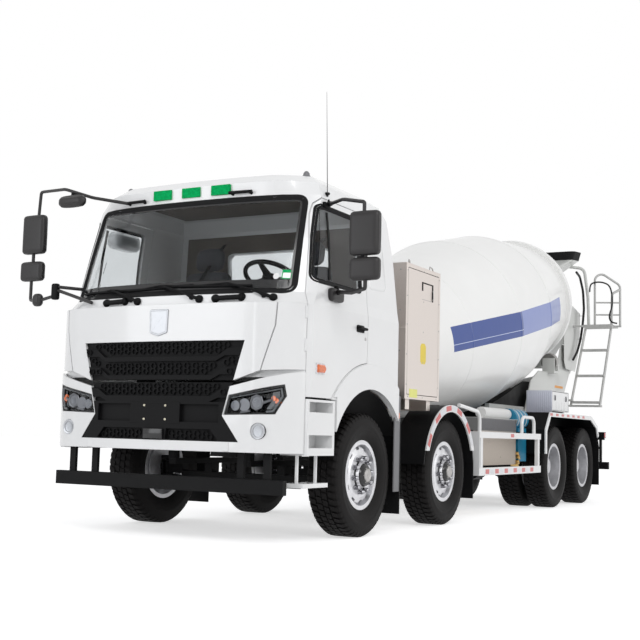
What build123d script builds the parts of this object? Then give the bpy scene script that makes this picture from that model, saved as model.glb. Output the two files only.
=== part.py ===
from build123d import *
from math import cos, radians, sin
import os

# Four-axle truck with a concrete drum. Millimetres. The truck faces -Y, its left side is +X,
# +Z is up, and the origin is on the ground below the middle of the truck.

# ---- driving dimensions ----
front_y = -5125
axle_y = [-3700, -1850, 1975, 3325]
axle_z = 530

tyre_radius = 530
bead_radius = 275
rim_radius = 298.5
rim_width = 230
flange_width = 12
steer_tyre_x = 1045
twin_outer_x = 1021
twin_inner_x = 676
kingpin_x = 860
pin_radius = 25
spindle_radius = 45
running_gap = 0.05
part_gap = 6

rail_inner_x = 350
rail_outer_x = 430
rail_bottom_z = 740
rail_top_z = 1030
subframe_low_z = 1075
subframe_top_z = 1200
subframe_step_y = 1300

cab_wall = 45
cab_sill_z = 1150
cab_floor_z = 1300
cab_roof_z = 3035
door_front_y = -4812
door_rear_y = -3790
arch_radius = 735
flare_radius = 955
glass_inset = 14
glass_thickness = 6

bumper_bottom_z = 714
bumper_top_z = 1355
bumper_half_width = 1216
bumper_wall = 30
flap_bottom_z = 1272
flap_top_z = 1885

drum_start_y = -2003
drum_start_z = 1612
drum_tilt = 13.2
drum_wall = 10
ring_start = 5555
ring_width = 100
ring_radius = 931
roller_radius = 120
roller_angle = 32
shaft_radius = 90

os.makedirs("parts", exist_ok=True)


def block(x0, x1, y0, y1, z0, z1, mode=Mode.ADD):
    """Adds or cuts a box between two corners in the part being built."""
    with Locations(((x0 + x1) / 2, (y0 + y1) / 2, (z0 + z1) / 2)):
        Box(x1 - x0, y1 - y0, z1 - z0, mode=mode)


def mirrored_blocks(x0, x1, y0, y1, z0, z1, mode=Mode.ADD):
    """The same box on the left and on the right."""
    block(x0, x1, y0, y1, z0, z1, mode)
    block(-x1, -x0, y0, y1, z0, z1, mode)


def bar_along_x(y, z, radius, x0, x1, mode=Mode.ADD):
    """Adds or cuts a round bar from x0 to x1."""
    with BuildSketch(Plane.YZ.offset(x0)) as section:
        with Locations((y, z)):
            Circle(radius)
    extrude(section.sketch, amount=x1 - x0, mode=mode)


def tube_path(points, radius, bend):
    """Adds a round tube along straight runs with bends of one radius."""
    with BuildLine() as path:
        if len(points) > 2:
            FilletPolyline(*points, radius=bend)
        else:
            Line(*points)
    with BuildSketch(Plane(path.line @ 0, z_dir=path.line % 0)) as section:
        Circle(radius)
    sweep(section.sketch, path=path.line)


def save(part, name):
    """Labels a finished piece and writes it."""
    part.label = name
    export_step(part, f"parts/{name}.step")


# ---- chassis ----
cross_member_y = [-4650, -2620, -950, 200, 1300, 2650, 4050]

with BuildPart() as chassis_frame:
    for side in (-1, 1):
        web = side * (rail_outer_x - 10)
        block(min(web, web + side * 10), max(web, web + side * 10), -4850, 4560, rail_bottom_z, rail_top_z)
        inner, outer = sorted((side * rail_inner_x, side * rail_outer_x))
        for z in (rail_bottom_z, rail_top_z - 12):
            block(inner, outer, -4850, 4560, z, z + 12)
        block(inner, outer, -2600, 4500, rail_top_z, subframe_low_z)
        block(inner, outer, subframe_step_y, 4500, subframe_low_z, subframe_top_z)
    for y in cross_member_y:
        block(-rail_outer_x + 5, rail_outer_x - 5, y - 45, y + 45, 840, 1000)
    # cab mounts, front and rear
    mirrored_blocks(330, 450, -4790, -4690, rail_top_z - 5, cab_floor_z)
    mirrored_blocks(330, 450, -3400, -3300, rail_top_z - 5, cab_floor_z)
    # brackets to the front bumper and the under-run bars
    mirrored_blocks(rail_outer_x - 5, 700, -4840, -4780, 800, 1000)
    mirrored_blocks(640, 700, -5040, -4780, 800, 1000)
    # outriggers under the tanks, guards, boxes and fenders
    for y in (-2850, -900, 880):
        mirrored_blocks(rail_outer_x - 5, 1100, y - 25, y + 25, 880, 960)
    # front and rear under-run bars
    block(-1130, 1130, -4980, -4920, 394, 508)
    for x in (-1000, -760, 700, 940):
        block(x, x + 60, -4960, -4930, 500, 780)
    block(-1020, 1020, -4960, -4930, 770, 800)
    block(-1200, 1200, 4520, 4590, 457, 565)
    mirrored_blocks(360, 420, 4500, 4560, 560, rail_bottom_z)
    # tail lamps on their brackets
    mirrored_blocks(rail_outer_x - 5, 1160, 4440, 4480, 895, 925)
    mirrored_blocks(960, 1160, 4440, 4530, 924, 1010)
    mirrored_blocks(1070, 1100, 4500, 4560, 560, 924)
    # hydraulic oil tank under the drum
    with BuildSketch(Plane.YZ.offset(-330)):
        with BuildLine():
            Polyline((1560, 1100), (2700, 1100), (2700, 1590), (2200, 1430), (1560, 1280), close=True)
        make_face()
    extrude(amount=660)
    # side plates beside the oil tank, joined by a bar through it
    for side in (-1, 1):
        with BuildSketch(Plane.YZ.offset(side * 430)):
            with BuildLine():
                Polyline((1400, 1290), (3080, 1290), (3080, 1690), (2800, 1690), (2500, 1620), (2000, 1475),
                         (1400, 1315), close=True)
            make_face()
        extrude(amount=side * 40)
    block(-470, 470, 2300, 2340, 1300, 1400)
save(chassis_frame.part, "chassis_frame")

with BuildPart() as engine:
    block(-300, 300, -4590, -3150, 700, 1240)
    block(-180, 180, -3160, -2700, 720, 1030)
save(engine.part, "engine")

# ---- front axles, knuckles and steered wheels ----
with BuildPart() as front_axles:
    for y in axle_y[:2]:
        block(-700, 700, y - 45, y + 45, 400, 500)
        mirrored_blocks(690, 860, y - 45, y + 45, 475, 585)
        for side in (-1, 1):
            with Locations((side * kingpin_x, y, axle_z)):
                Cylinder(48, 110)
                Cylinder(pin_radius + running_gap, 200, mode=Mode.SUBTRACT)
            # leaf spring with its eyes and hangers
            x = side * 390
            block(x - 40, x + 40, y - 60, y + 60, 495, 580)
            block(x - 35, x + 35, y - 620, y + 620, 580, 630)
            for end in (-600, 600):
                block(x - 35, x + 35, y + end - 35, y + end + 35, 625, rail_bottom_z)
save(front_axles.part, "front_axles")

steered = [(number, side) for number in (1, 2) for side in ("left", "right")]
driven = [(number, side) for number in (3, 4) for side in ("left", "right")]

for number, side in steered:
    sign = 1 if side == "left" else -1
    y = axle_y[number - 1]
    with BuildPart() as knuckle:
        with Locations((sign * kingpin_x, y, axle_z)):
            Cylinder(pin_radius, 210)
        for z in (axle_z - 85, axle_z + 85):
            with Locations((sign * kingpin_x, y, z)):
                Cylinder(50, 40)
            x0, x1 = sorted((sign * kingpin_x, sign * (kingpin_x + 75)))
            block(x0, x1, y - 50, y + 50, z - 20, z + 20)
        x0, x1 = sorted((sign * (kingpin_x + 55), sign * (kingpin_x + 75)))
        block(x0, x1, y - 50, y + 50, axle_z - 105, axle_z + 105)
        x0, x1 = sorted((sign * (kingpin_x + 60), sign * 1130))
        bar_along_x(y, axle_z, spindle_radius, x0, x1)
        # steering arm
        x0, x1 = sorted((sign * 732, sign * kingpin_x))
        block(x0, x1, y + 20, y + 60, axle_z - 105, axle_z - 75)
    save(knuckle.part, f"knuckle_{number}_{side}")

# half section of a tyre: distance from its middle plane, radius
tyre_section = [
    (103, bead_radius),
    (103, 300),
    (148, 380),
    (150, 450),
    (132, 512),
    (112, tyre_radius),
]


def add_tyre(x, y):
    """A tyre about the wheel axis at y, with its middle plane at x."""
    outline = tyre_section + [(-u, r) for u, r in reversed(tyre_section)]
    with BuildSketch(Plane.XY.offset(axle_z)) as section:
        with BuildLine():
            Polyline(*[(x + u, y + r) for u, r in outline], close=True)
        make_face()
    revolve(section.sketch, axis=Axis((x, y, axle_z), (1, 0, 0)))


def revolved_ring(profile, y):
    """A closed profile of (x, radius) turned about the wheel axis at y."""
    with BuildSketch(Plane.XY.offset(axle_z)) as section:
        with BuildLine():
            Polyline(*[(x, y + r) for x, r in profile], close=True)
        make_face()
    revolve(section.sketch, axis=Axis((0, y, axle_z), (1, 0, 0)))


def rim_barrel(x_middle):
    """Rim bed with its two flanges, as (x, radius)."""
    half = rim_width / 2
    return [
        (x_middle - half, rim_radius),
        (x_middle - half + flange_width, rim_radius),
        (x_middle - half + flange_width, bead_radius - 1),
        (x_middle + half - flange_width, bead_radius - 1),
        (x_middle + half - flange_width, rim_radius),
        (x_middle + half, rim_radius),
        (x_middle + half, 262),
        (x_middle - half, 262),
    ]


for number, side in steered + driven:
    sign = 1 if side == "left" else -1
    y = axle_y[number - 1]
    tyres = [steer_tyre_x] if number < 3 else [twin_outer_x, twin_inner_x]
    with BuildPart() as tyre:
        for x in tyres:
            add_tyre(sign * x, y)
    save(tyre.part, f"tyre_{number}_{side}")

# steered wheel: (x, radius) of the dished disc, the hub and the brake drum
front_disc = [(1095, 265), (1135, 235), (1150, 190), (1150, 100), (1128, 100), (1128, 185), (1115, 225), (1075, 265)]
front_hub = [(950, 46), (950, 210), (1085, 210), (1085, 150), (1129, 150), (1129, 120),
             (1151, 120), (1200, 90), (1215, 70), (1215, 0), (1140, 0), (1140, 46)]
# driven twin wheel: deep disc of each rim, hub and drum
rear_disc_x = 848
rear_hub = [(640, 60), (640, 210), (rear_disc_x - 24, 210), (rear_disc_x - 24, 175), (rear_disc_x + 30, 175),
            (rear_disc_x + 30, 130), (1040, 120), (1065, 90), (1065, 0), (1000, 0), (1000, 60)]

for number, side in steered + driven:
    sign = 1 if side == "left" else -1
    y = axle_y[number - 1]
    with BuildPart() as rim:
        if number < 3:
            revolved_ring([(sign * x, r) for x, r in rim_barrel(steer_tyre_x)], y)
            revolved_ring([(sign * x, r) for x, r in front_disc], y)
            revolved_ring([(sign * x, r) for x, r in front_hub], y)
            hole_depth, hole_radius, holes = 60, 27, 10
            hole_circle, hole_x = 228, sign * 1110
        else:
            for middle, direction in ((twin_outer_x, 1), (twin_inner_x, -1)):
                revolved_ring([(sign * x, r) for x, r in rim_barrel(middle)], y)
                rim_edge = rear_disc_x + direction * 58
                disc = [(rim_edge, 265), (rear_disc_x + direction * 24, 215), (rear_disc_x + direction * 12, 195),
                        (rear_disc_x + direction * 12, 120), (rear_disc_x, 120), (rear_disc_x, 200),
                        (rim_edge - direction * 18, 265)]
                revolved_ring([(sign * x, r) for x, r in disc], y)
            revolved_ring([(sign * x, r) for x, r in rear_hub], y)
            hole_depth, hole_radius, holes = 150, 25, 8
            hole_circle, hole_x = 236, sign * rear_disc_x
        with Locations(Plane(origin=(hole_x, y, axle_z), z_dir=(1, 0, 0))):
            with PolarLocations(hole_circle, holes, start_angle=9):
                Cylinder(hole_radius, hole_depth, mode=Mode.SUBTRACT)
    save(rim.part, f"rim_{number}_{side}")

with BuildPart() as rear_axles:
    for y in axle_y[2:]:
        bar_along_x(y, axle_z, 59.95, -990, 990)
        bar_along_x(y, axle_z, 85, -620, 620)
        with Locations((0, y, axle_z)):
            Cylinder(215, 280, rotation=(90, 0, 0))
        mirrored_blocks(355, 425, y - 70, y + 70, 460, 640)
    middle = (axle_y[2] + axle_y[3]) / 2
    for side in (-1, 1):
        x = side * 390
        block(x - 45, x + 45, axle_y[2] - 150, axle_y[3] + 150, 615, 680)
        block(x - 40, x + 40, middle - 130, middle + 130, 675, rail_bottom_z)
    bar_along_x(middle, 640, 50, -430, 430)
save(rear_axles.part, "rear_axles")

# ---- cab ----
# levels of the cab: height, half width, front middle, where the corner curve starts (x, y), where it meets the
# side, how far it bulges past its chord, rear
cab_levels = [
    (1150, 1235, -5030, 870, -4985, -4760, 60, -3150),
    (1890, 1240, -5050, 870, -5003, -4760, 60, -3165),
    (1985, 1226, -5040, 800, -4980, -4690, 40, -3170),
    (2440, 1195, -4868, 800, -4812, -4590, 35, -3215),
    (2820, 1140, -4725, 800, -4675, -4520, 22, -3260),
    (2935, 1095, -4730, 790, -4682, -4480, 22, -3335),
    (3005, 1000, -4640, 730, -4600, -4420, 18, -3480),
    (3035, 870, -4460, 640, -4430, -4290, 12, -3670),
]


def cab_body(inset):
    """The cab's outer form, or the same form set in from it."""
    with BuildPart() as body:
        for z, half_width, front, edge_x, edge_y, side_front, bulge, rear in cab_levels:
            side = Vector(half_width - inset, side_front + inset / 2)
            edge = Vector(edge_x - inset / 3, edge_y + inset)
            chord = side - edge
            outward = Vector(chord.Y, -chord.X).normalized()
            middle = edge + chord / 2 + outward * bulge
            with BuildSketch(Plane.XY.offset(z)):
                with BuildLine():
                    ThreePointArc((-edge.X, edge.Y), (0, front + inset), (edge.X, edge.Y))
                    ThreePointArc((edge.X, edge.Y), (middle.X, middle.Y), (side.X, side.Y))
                    Line((side.X, side.Y), (side.X, rear - inset))
                    Line((side.X, rear - inset), (-side.X, rear - inset))
                    Line((-side.X, rear - inset), (-side.X, side.Y))
                    ThreePointArc((-side.X, side.Y), (-middle.X, middle.Y), (-edge.X, edge.Y))
                make_face()
        loft(ruled=True)
    return body.part


def windscreen_prism(mode=Mode.ADD):
    """The windscreen opening, seen from the front."""
    with BuildSketch(Plane.XZ.offset(5300)) as opening:
        with BuildLine():
            Polyline((-1090, 1985), (1090, 1985), (1045, 2795), (-1045, 2795), close=True)
        make_face()
        fillet(opening.vertices(), radius=70)
    extrude(opening.sketch, amount=-1000, mode=mode)


def side_prism(outline, sign, mode=Mode.ADD):
    """An opening through one side of the cab, from its outline in Y and Z."""
    with BuildSketch(Plane.YZ.offset(sign * 900)) as opening:
        with BuildLine():
            Polyline(*outline, close=True)
        make_face()
        fillet(opening.vertices(), radius=50)
    extrude(opening.sketch, amount=sign * 500, mode=mode)


def door_prism(sign, gap, mode=Mode.ADD):
    """The door's outline, cut back at its lower rear by the wheel arch flare."""
    with BuildSketch(Plane.YZ.offset(sign * 900)) as opening:
        with BuildLine():
            Polyline(
                (door_front_y + gap, cab_sill_z + gap),
                (door_rear_y - gap, cab_sill_z + gap),
                (door_rear_y - gap, 2800 - gap),
                (-4515 + gap, 2800 - gap),
                (-4575 + gap, 2745 - gap),
                (-4613 + gap, 2650),
                (-4708 + gap, 2232),
                (-4765 + gap, 1990),
                (door_front_y + gap, 1890),
                close=True,
            )
        make_face()
        with Locations((axle_y[0], axle_z)):
            Circle(flare_radius + gap, mode=Mode.SUBTRACT)
    extrude(opening.sketch, amount=sign * 500, mode=mode)


door_window = [(-4714, 2085), (-3900, 2085), (-3900, 2730), (-4556, 2730), (-4636, 2450)]
rear_window = (-560, 560, 2150, 2600)

cab_outer = cab_body(0)
cab_inner = cab_body(cab_wall)
glass_skin = cab_body(glass_inset) - cab_body(glass_inset + glass_thickness)


def front_band(middle_y, side_x, wall, z0, z1, mode=Mode.ADD):
    """A wall bent round the front of the truck up to the doors, between two heights."""
    back_y = door_front_y - part_gap
    with BuildSketch(Plane.XY.offset(z0)) as section:
        for inset, how in ((0, Mode.ADD), (wall, Mode.SUBTRACT)):
            edge = (870 - inset / 4, middle_y + 53 + inset)
            corner = (1120 - inset * 0.7, middle_y + 160 + inset * 0.7)
            end = (side_x - inset, back_y)
            with BuildSketch(mode=Mode.PRIVATE) as region:
                with BuildLine():
                    ThreePointArc((-edge[0], edge[1]), (0, middle_y + inset), edge)
                    ThreePointArc(edge, corner, end)
                    Line(end, (-end[0], back_y))
                    ThreePointArc((-end[0], back_y), (-corner[0], corner[1]), (-edge[0], edge[1]))
                make_face()
            add(region.sketch, mode=how)
    extrude(section.sketch, amount=z1 - z0, mode=mode)


def front_prism(outline, mode=Mode.ADD, radius=0):
    """A prism through the front of the truck, from its outline in X and Z."""
    with BuildSketch(Plane.XZ.offset(5300)) as opening:
        with BuildLine():
            Polyline(*outline, close=True)
        make_face()
        if radius:
            fillet(opening.vertices(), radius=radius)
    extrude(opening.sketch, amount=-500, mode=mode)


def both_sides(outline, sign):
    """An outline on the left side, or its mirror image on the right."""
    return [(sign * x, z) for x, z in outline]


# outlines in X and Z
lamp_outline = [(640, 1000), (682, 1155), (1118, 1245), (1131, 1155), (1064, 1012)]
grille_lower = [(-780, 792), (780, 792), (633, 993), (700, 1255), (-700, 1255), (-633, 993)]
grille_upper = [(-800, 1585), (800, 1585), (712, flap_bottom_z), (-712, flap_bottom_z)]
flap_lower_edge = [(712, flap_bottom_z), (935, 1350), (1300, 1370), (1300, 1200), (712, 1200)]
bumper_upper_edge = [(700, 1225), (1190, 1345), (1300, 1350), (1300, 1450), (600, 1450), (600, 1225)]

with BuildPart() as corner_panels:
    front_band(-5110, 1212, 80, 1340, flap_top_z)
    for sign in (-1, 1):
        front_prism(both_sides(flap_lower_edge, sign), mode=Mode.SUBTRACT)
    front_prism([(-901, 1200), (901, 1200), (945, 1352), (1045, 1700), (1060, 1950), (-1060, 1950), (-1045, 1700),
                 (-945, 1352)], mode=Mode.SUBTRACT)

with BuildPart() as cab_cavity:
    add(cab_inner)
    block(-1300, 1300, -5300, -3000, cab_floor_z + 40, cab_roof_z - 50, mode=Mode.INTERSECT)

with BuildPart() as cab_shell:
    add(cab_outer)
    add(corner_panels.part)
    add(cab_cavity.part, mode=Mode.SUBTRACT)
    block(-1185, 1185, -5100, -3000, cab_sill_z - 10, cab_floor_z, mode=Mode.SUBTRACT)
    windscreen_prism(mode=Mode.SUBTRACT)
    with BuildSketch(Plane.XZ.offset(3700)):
        with Locations((0, (rear_window[2] + rear_window[3]) / 2)):
            RectangleRounded(rear_window[1] * 2, rear_window[3] - rear_window[2], 60)
    extrude(amount=-700, mode=Mode.SUBTRACT)
    for sign in (-1, 1):
        door_prism(sign, 0, mode=Mode.SUBTRACT)
        # wheel arch through the skirt and the step well
        with BuildSketch(Plane.YZ.offset(sign * 700)):
            with Locations((axle_y[0], axle_z)):
                Circle(arch_radius)
        extrude(amount=sign * 700, mode=Mode.SUBTRACT)
        # flare round the arch, from the door to the cab's rear
        with BuildSketch(Plane.YZ.offset(sign * 1190)):
            with Locations((axle_y[0], axle_z)):
                Circle(flare_radius - part_gap)
                Circle(arch_radius, mode=Mode.SUBTRACT)
                Rectangle(2000, 2000, align=(Align.CENTER, Align.MAX), mode=Mode.SUBTRACT)
            with Locations((axle_y[0] - 640, axle_z)):
                Rectangle(800, 640, align=(Align.MAX, Align.MIN), mode=Mode.SUBTRACT)
            with Locations((-3140, axle_z)):
                Rectangle(800, 900, align=(Align.MIN, Align.MIN), mode=Mode.SUBTRACT)
        extrude(amount=sign * 56)
save(cab_shell.part, "cab_shell")

for sign, side in ((1, "left"), (-1, "right")):
    with BuildPart() as door:
        door_prism(sign, part_gap)
        add(cab_outer, mode=Mode.INTERSECT)
        add(cab_inner, mode=Mode.SUBTRACT)
        side_prism(door_window, sign, mode=Mode.SUBTRACT)
    save(door.part, f"door_{side}")
    with BuildPart() as door_glass:
        side_prism(door_window, sign)
        add(glass_skin, mode=Mode.INTERSECT)
    save(door_glass.part, f"door_glass_{side}")

with BuildPart() as cab_glass:
    windscreen_prism()
    with BuildSketch(Plane.XZ.offset(3700)):
        with Locations((0, (rear_window[2] + rear_window[3]) / 2)):
            RectangleRounded(rear_window[1] * 2, rear_window[3] - rear_window[2], 60)
    extrude(amount=-700)
    add(glass_skin, mode=Mode.INTERSECT)
    for sign in (-1, 1):
        door_prism(sign, 0, mode=Mode.SUBTRACT)
save(cab_glass.part, "cab_glass")

with BuildPart() as cab_interior:
    floor_z = cab_floor_z + 40
    # dashboard with the instrument hood
    block(-1090, 1090, -4900, -4700, 1500, 1950)
    block(-380, 240, -4830, -4680, 1940, 2050)
    block(-1090, 1090, -4900, -4800, floor_z, 1510)
    # engine cover and two seats
    block(-260, 260, -4400, -3250, floor_z, 1560)
    for x in (-680, 600):
        block(x - 200, x + 200, -4230, -3900, floor_z, 1640)
        block(x - 250, x + 250, -4350, -3850, 1630, 1770)
        block(x - 240, x + 240, -3880, -3750, 1760, 2390)
        block(x - 140, x + 140, -3870, -3770, 2380, 2600)
    # steering column and wheel
    wheel_plane = Plane(origin=(600, -4500, 2130), z_dir=(0, 0.55, 1))
    with Locations(wheel_plane):
        Torus(225, 16)
        Cylinder(45, 40)
        Box(450, 40, 16)
        Cylinder(40, 330, align=(Align.CENTER, Align.CENTER, Align.MAX))
    add(cab_body(cab_wall + 5), mode=Mode.INTERSECT)
save(cab_interior.part, "cab_interior")

# ---- front of the cab ----


fog_lamp = (942, 880, 64)


def fog_lamps(radius, mode=Mode.ADD):
    """Round fog lamp barrels through the bumper's corners."""
    x, z, _ = fog_lamp
    for sign in (-1, 1):
        with BuildSketch(Plane.XZ.offset(5300)) as opening:
            with Locations((sign * x, z)):
                Circle(radius)
        extrude(opening.sketch, amount=-500, mode=mode)


with BuildPart() as front_bumper:
    front_band(front_y, bumper_half_width, bumper_wall, bumper_bottom_z, bumper_top_z)
    front_prism(grille_lower, mode=Mode.SUBTRACT)
    front_prism([(-700, 1240), (700, 1240), (700, 1400), (-700, 1400)], mode=Mode.SUBTRACT)
    for sign in (-1, 1):
        front_prism(both_sides(lamp_outline, sign), mode=Mode.SUBTRACT)
        front_prism(both_sides(bumper_upper_edge, sign), mode=Mode.SUBTRACT)
    fog_lamps(fog_lamp[2], mode=Mode.SUBTRACT)
    mirrored_blocks(640, 700, -5097, -5040, 720, 785)
    add(cab_outer, mode=Mode.SUBTRACT)
save(front_bumper.part, "front_bumper")

with BuildPart() as lamp_openings:
    for sign in (-1, 1):
        front_prism(both_sides(lamp_outline, sign))
    fog_lamps(fog_lamp[2])

with BuildPart() as headlamps:
    front_band(front_y + 8, bumper_half_width - 8, 45, 800, 1300)
    add(lamp_openings.part, mode=Mode.INTERSECT)
    add(cab_outer, mode=Mode.SUBTRACT)
save(headlamps.part, "headlamps")


def grille_bar(end_x, end_z, kink_x, low_z, height, mode=Mode.ADD):
    """One broad bar of the grille, dipped in its middle."""
    front_prism(
        [(-end_x, end_z), (-kink_x - 90, end_z - 12), (-kink_x, low_z), (kink_x, low_z), (kink_x + 90, end_z - 12),
         (end_x, end_z), (end_x - 15, end_z - height - 30), (kink_x + 70, end_z - height - 30),
         (kink_x - 15, low_z - height), (15 - kink_x, low_z - height), (-kink_x - 70, end_z - height - 30),
         (15 - end_x, end_z - height - 30)],
        mode=mode,
    )


# bars of the grille: end x, end z, kink x, middle z, height
flap_bars = [(785, 1535, 560, 1461, 38), (742, 1385, 520, 1312, 38)]
fixed_bars = [(690, 1212, 520, 1146, 48)]

with BuildPart() as flap_bar_shapes:
    for bar in flap_bars:
        grille_bar(*bar)

with BuildPart() as flap_grille:
    front_band(-5108, 1212, 40, flap_bottom_z, 1585)
    add(flap_bar_shapes.part, mode=Mode.INTERSECT)
    front_band(-5085, 1205, 10, flap_bottom_z, 1585)
    front_prism(grille_upper, mode=Mode.INTERSECT)
save(flap_grille.part, "flap_grille")

with BuildPart() as service_flap:
    front_band(-5110, 1212, 30, flap_bottom_z, flap_top_z)
    front_prism(grille_upper, mode=Mode.SUBTRACT)
    for sign in (-1, 1):
        front_prism(both_sides(flap_lower_edge, sign), mode=Mode.SUBTRACT)
        front_prism(both_sides([(891, 1200), (935, 1352), (1035, 1700), (1050, 1950), (1300, 1950), (1300, 1200)],
                               sign), mode=Mode.SUBTRACT)
save(service_flap.part, "service_flap")

with BuildPart() as fixed_bar_shapes:
    for bar in fixed_bars:
        grille_bar(*bar)
    # panel round the plate bracket and the lower intake
    front_prism([(-633, 993), (-655, 1100), (655, 1100), (633, 993), (780, 792), (-780, 792)])
    front_prism([(-600, 940), (-600, 1080), (600, 1080), (600, 940)], mode=Mode.SUBTRACT)
    front_prism([(-600, 800), (-530, 885), (530, 885), (600, 800)], mode=Mode.SUBTRACT)
    front_prism([(-110, 792), (-120, 900), (120, 900), (110, 792)])

plate_bolt_x = 105
plate_bolt_z = 55
with BuildPart() as bumper_grille:
    front_band(front_y + 2, 1212, 40, 792, 1255)
    add(fixed_bar_shapes.part, mode=Mode.INTERSECT)
    front_band(-5090, 1205, 10, 792, 1255)
    block(-245, 245, -5122, -5085, 925, 1095)
    with Locations(Plane(origin=(0, -5122, 1012), x_dir=(1, 0, 0), z_dir=(0, -1, 0))):
        with GridLocations(plate_bolt_x * 2, plate_bolt_z * 2, 2, 2):
            Hole(4.5, depth=25)
    front_prism(grille_lower, mode=Mode.INTERSECT)
save(bumper_grille.part, "bumper_grille")

# ---- mirrors, lamps and trim of the cab ----
with BuildPart() as mirrors_left:
    # two glasses in their housings, one above the other, on tube arms from the door
    block(1545, 1800, -4790, -4710, 2255, 2600)
    block(1550, 1805, -4790, -4715, 2060, 2235)
    tube_path([(1130, -4410, 2752), (1400, -4620, 2742), (1660, -4750, 2675), (1660, -4750, 2590)], 15, 45)
    tube_path([(1236, -4400, 2030), (1500, -4620, 1985), (1680, -4750, 1995), (1680, -4750, 2070)], 15, 25)
    tube_path([(1680, -4750, 2225), (1680, -4750, 2265)], 15, 20)
    block(1225, 1275, -4500, -4300, 1955, 2045)
    block(1120, 1176, -4500, -4400, 2722, 2768)
    add(cab_outer, mode=Mode.SUBTRACT)
save(mirrors_left.part, "mirrors_left")

with BuildPart() as mirrors_right:
    # the far pair hangs on tubes from the cab's front corner
    block(-1800, -1548, -4850, -4770, 2440, 2795)
    block(-1805, -1550, -4850, -4775, 2190, 2365)
    tube_path([(-1680, -4810, 2355), (-1680, -4810, 2450)], 15, 20)
    block(-1300, -1235, -4975, -4925, 1990, 2130)
    tube_path([(-1240, -4950, 2070), (-780, -5030, 1935)], 15, 20)
    tube_path([(-1240, -4950, 2100), (-1100, -4760, 2095)], 15, 20)
    tube_path([(-1290, -4950, 2020), (-1500, -4900, 1995), (-1690, -4810, 2015), (-1690, -4810, 2200)], 15, 50)
    tube_path([(-1640, -4810, 2785), (-1620, -4815, 3010), (-1230, -4930, 2980), (-950, -4880, 2890),
               (-690, -4720, 2850)], 14, 60)
    # hood mirror under the top arm and kerb mirror on the lower one
    block(-1215, -940, -5035, -4965, 2800, 2885)
    block(-1110, -1080, -4990, -4880, 2870, 2930)
    block(-1560, -1470, -4930, -4870, 1950, 2050)
    add(cab_outer, mode=Mode.SUBTRACT)
save(mirrors_right.part, "mirrors_right")

with BuildPart() as roof_lamps:
    for x in (-300, 0, 300):
        block(x - 92, x + 92, -4742, -4700, 2845, 2928)
    add(cab_outer, mode=Mode.SUBTRACT)
save(roof_lamps.part, "roof_lamps")

with BuildPart() as cab_steps:
    for side in (-1, 1):
        x0, x1 = sorted((side * 1000, side * 1240))
        block(x0, x1, -4815, -4365, 700, 1140)
        x0, x1 = sorted((side * 1080, side * 1250))
        block(x0, x1, -4785, -4400, 1040, 1120, mode=Mode.SUBTRACT)
        block(x0, x1, -4785, -4400, 760, 860, mode=Mode.SUBTRACT)
        x0, x1 = sorted((side * rail_outer_x, side * 1010))
        block(x0, x1, -4690, -4600, 860, 950)
        for y in (-4770, -4470):
            x0, x1 = sorted((side * 1120, side * 1140))
            block(x0, x1, y - 10, y + 10, 480, 705)
        x0, x1 = sorted((side * 1050, side * 1230))
        block(x0, x1, -4840, -4440, 450, 485)
save(cab_steps.part, "cab_steps")

# ---- fenders, flaps and guards ----
fender_width = (900, 1226)
fender_wall = 18
hood_inner_x = 560
fender_inner = 645
liner_radius = 730
edge_width = (1226, 1243)

with BuildPart() as fenders:
    for side in (-1, 1):
        start = side * fender_width[0]
        width = side * (fender_width[1] - fender_width[0])
        # first axle: a liner inside the cab's wheel arch
        with BuildSketch(Plane.YZ.offset(side * 600)):
            with Locations((axle_y[0], axle_z)):
                Circle(liner_radius)
                Circle(liner_radius - 8, mode=Mode.SUBTRACT)
            with Locations((axle_y[0], 870)):
                Rectangle(1600, 1200, align=(Align.CENTER, Align.MAX), mode=Mode.SUBTRACT)
        extrude(amount=side * 580)
        x0, x1 = sorted((side * rail_outer_x, side * 640))
        block(x0, x1, -3960, -3920, 1186, 1212)
        x0, x1 = sorted((side * rail_outer_x, side * 470))
        block(x0, x1, -3960, -3920, 980, 1212)
        # second axle: an arch
        with BuildSketch(Plane.YZ.offset(start)):
            with Locations((axle_y[1], axle_z)):
                Circle(fender_inner + fender_wall)
                Circle(fender_inner, mode=Mode.SUBTRACT)
            with Locations((axle_y[1], 610)):
                Rectangle(1600, 900, align=(Align.CENTER, Align.MAX), mode=Mode.SUBTRACT)
        extrude(amount=width)
        # rear axles: a long flat-topped hood over the wheel pairs
        with BuildSketch(Plane.YZ.offset(side * hood_inner_x)):
            with BuildLine():
                Polyline((axle_y[2] - 690, 700), (axle_y[2] - 690, 1000), (axle_y[2] - 500, 1222),
                         (axle_y[3] + 80, 1222), (axle_y[3] + 420, 1090), (axle_y[3] + 590, 760),
                         (axle_y[3] + 570, 760), (axle_y[3] + 405, 1075), (axle_y[3] + 76, 1202),
                         (axle_y[2] - 490, 1202), (axle_y[2] - 670, 992), (axle_y[2] - 670, 700), close=True)
            make_face()
        extrude(amount=side * (fender_width[1] - hood_inner_x))
        # stays to the frame
        for y, z_top in ((axle_y[1], 1196), (axle_y[2], 1203), (axle_y[3] - 200, 1203)):
            x0, x1 = sorted((side * rail_outer_x, side * 1100))
            block(x0, x1, y - 20, y + 20, z_top - 25, z_top)
        x0, x1 = sorted((side * rail_outer_x, side * 470))
        block(x0, x1, axle_y[1] - 20, axle_y[1] + 20, 980, 1190)
        # mud flaps
        x0, x1 = sorted((side * 860, side * 1225))
        block(x0, x1, -3057, -3045, 170, 1000)
        block(x0, x1, -1198, -1188, 240, 640)
        x0, x1 = sorted((side * 560, side * 1225))
        block(x0, x1, 3885, 3897, 245, 790)
save(fenders.part, "fenders")

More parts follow.
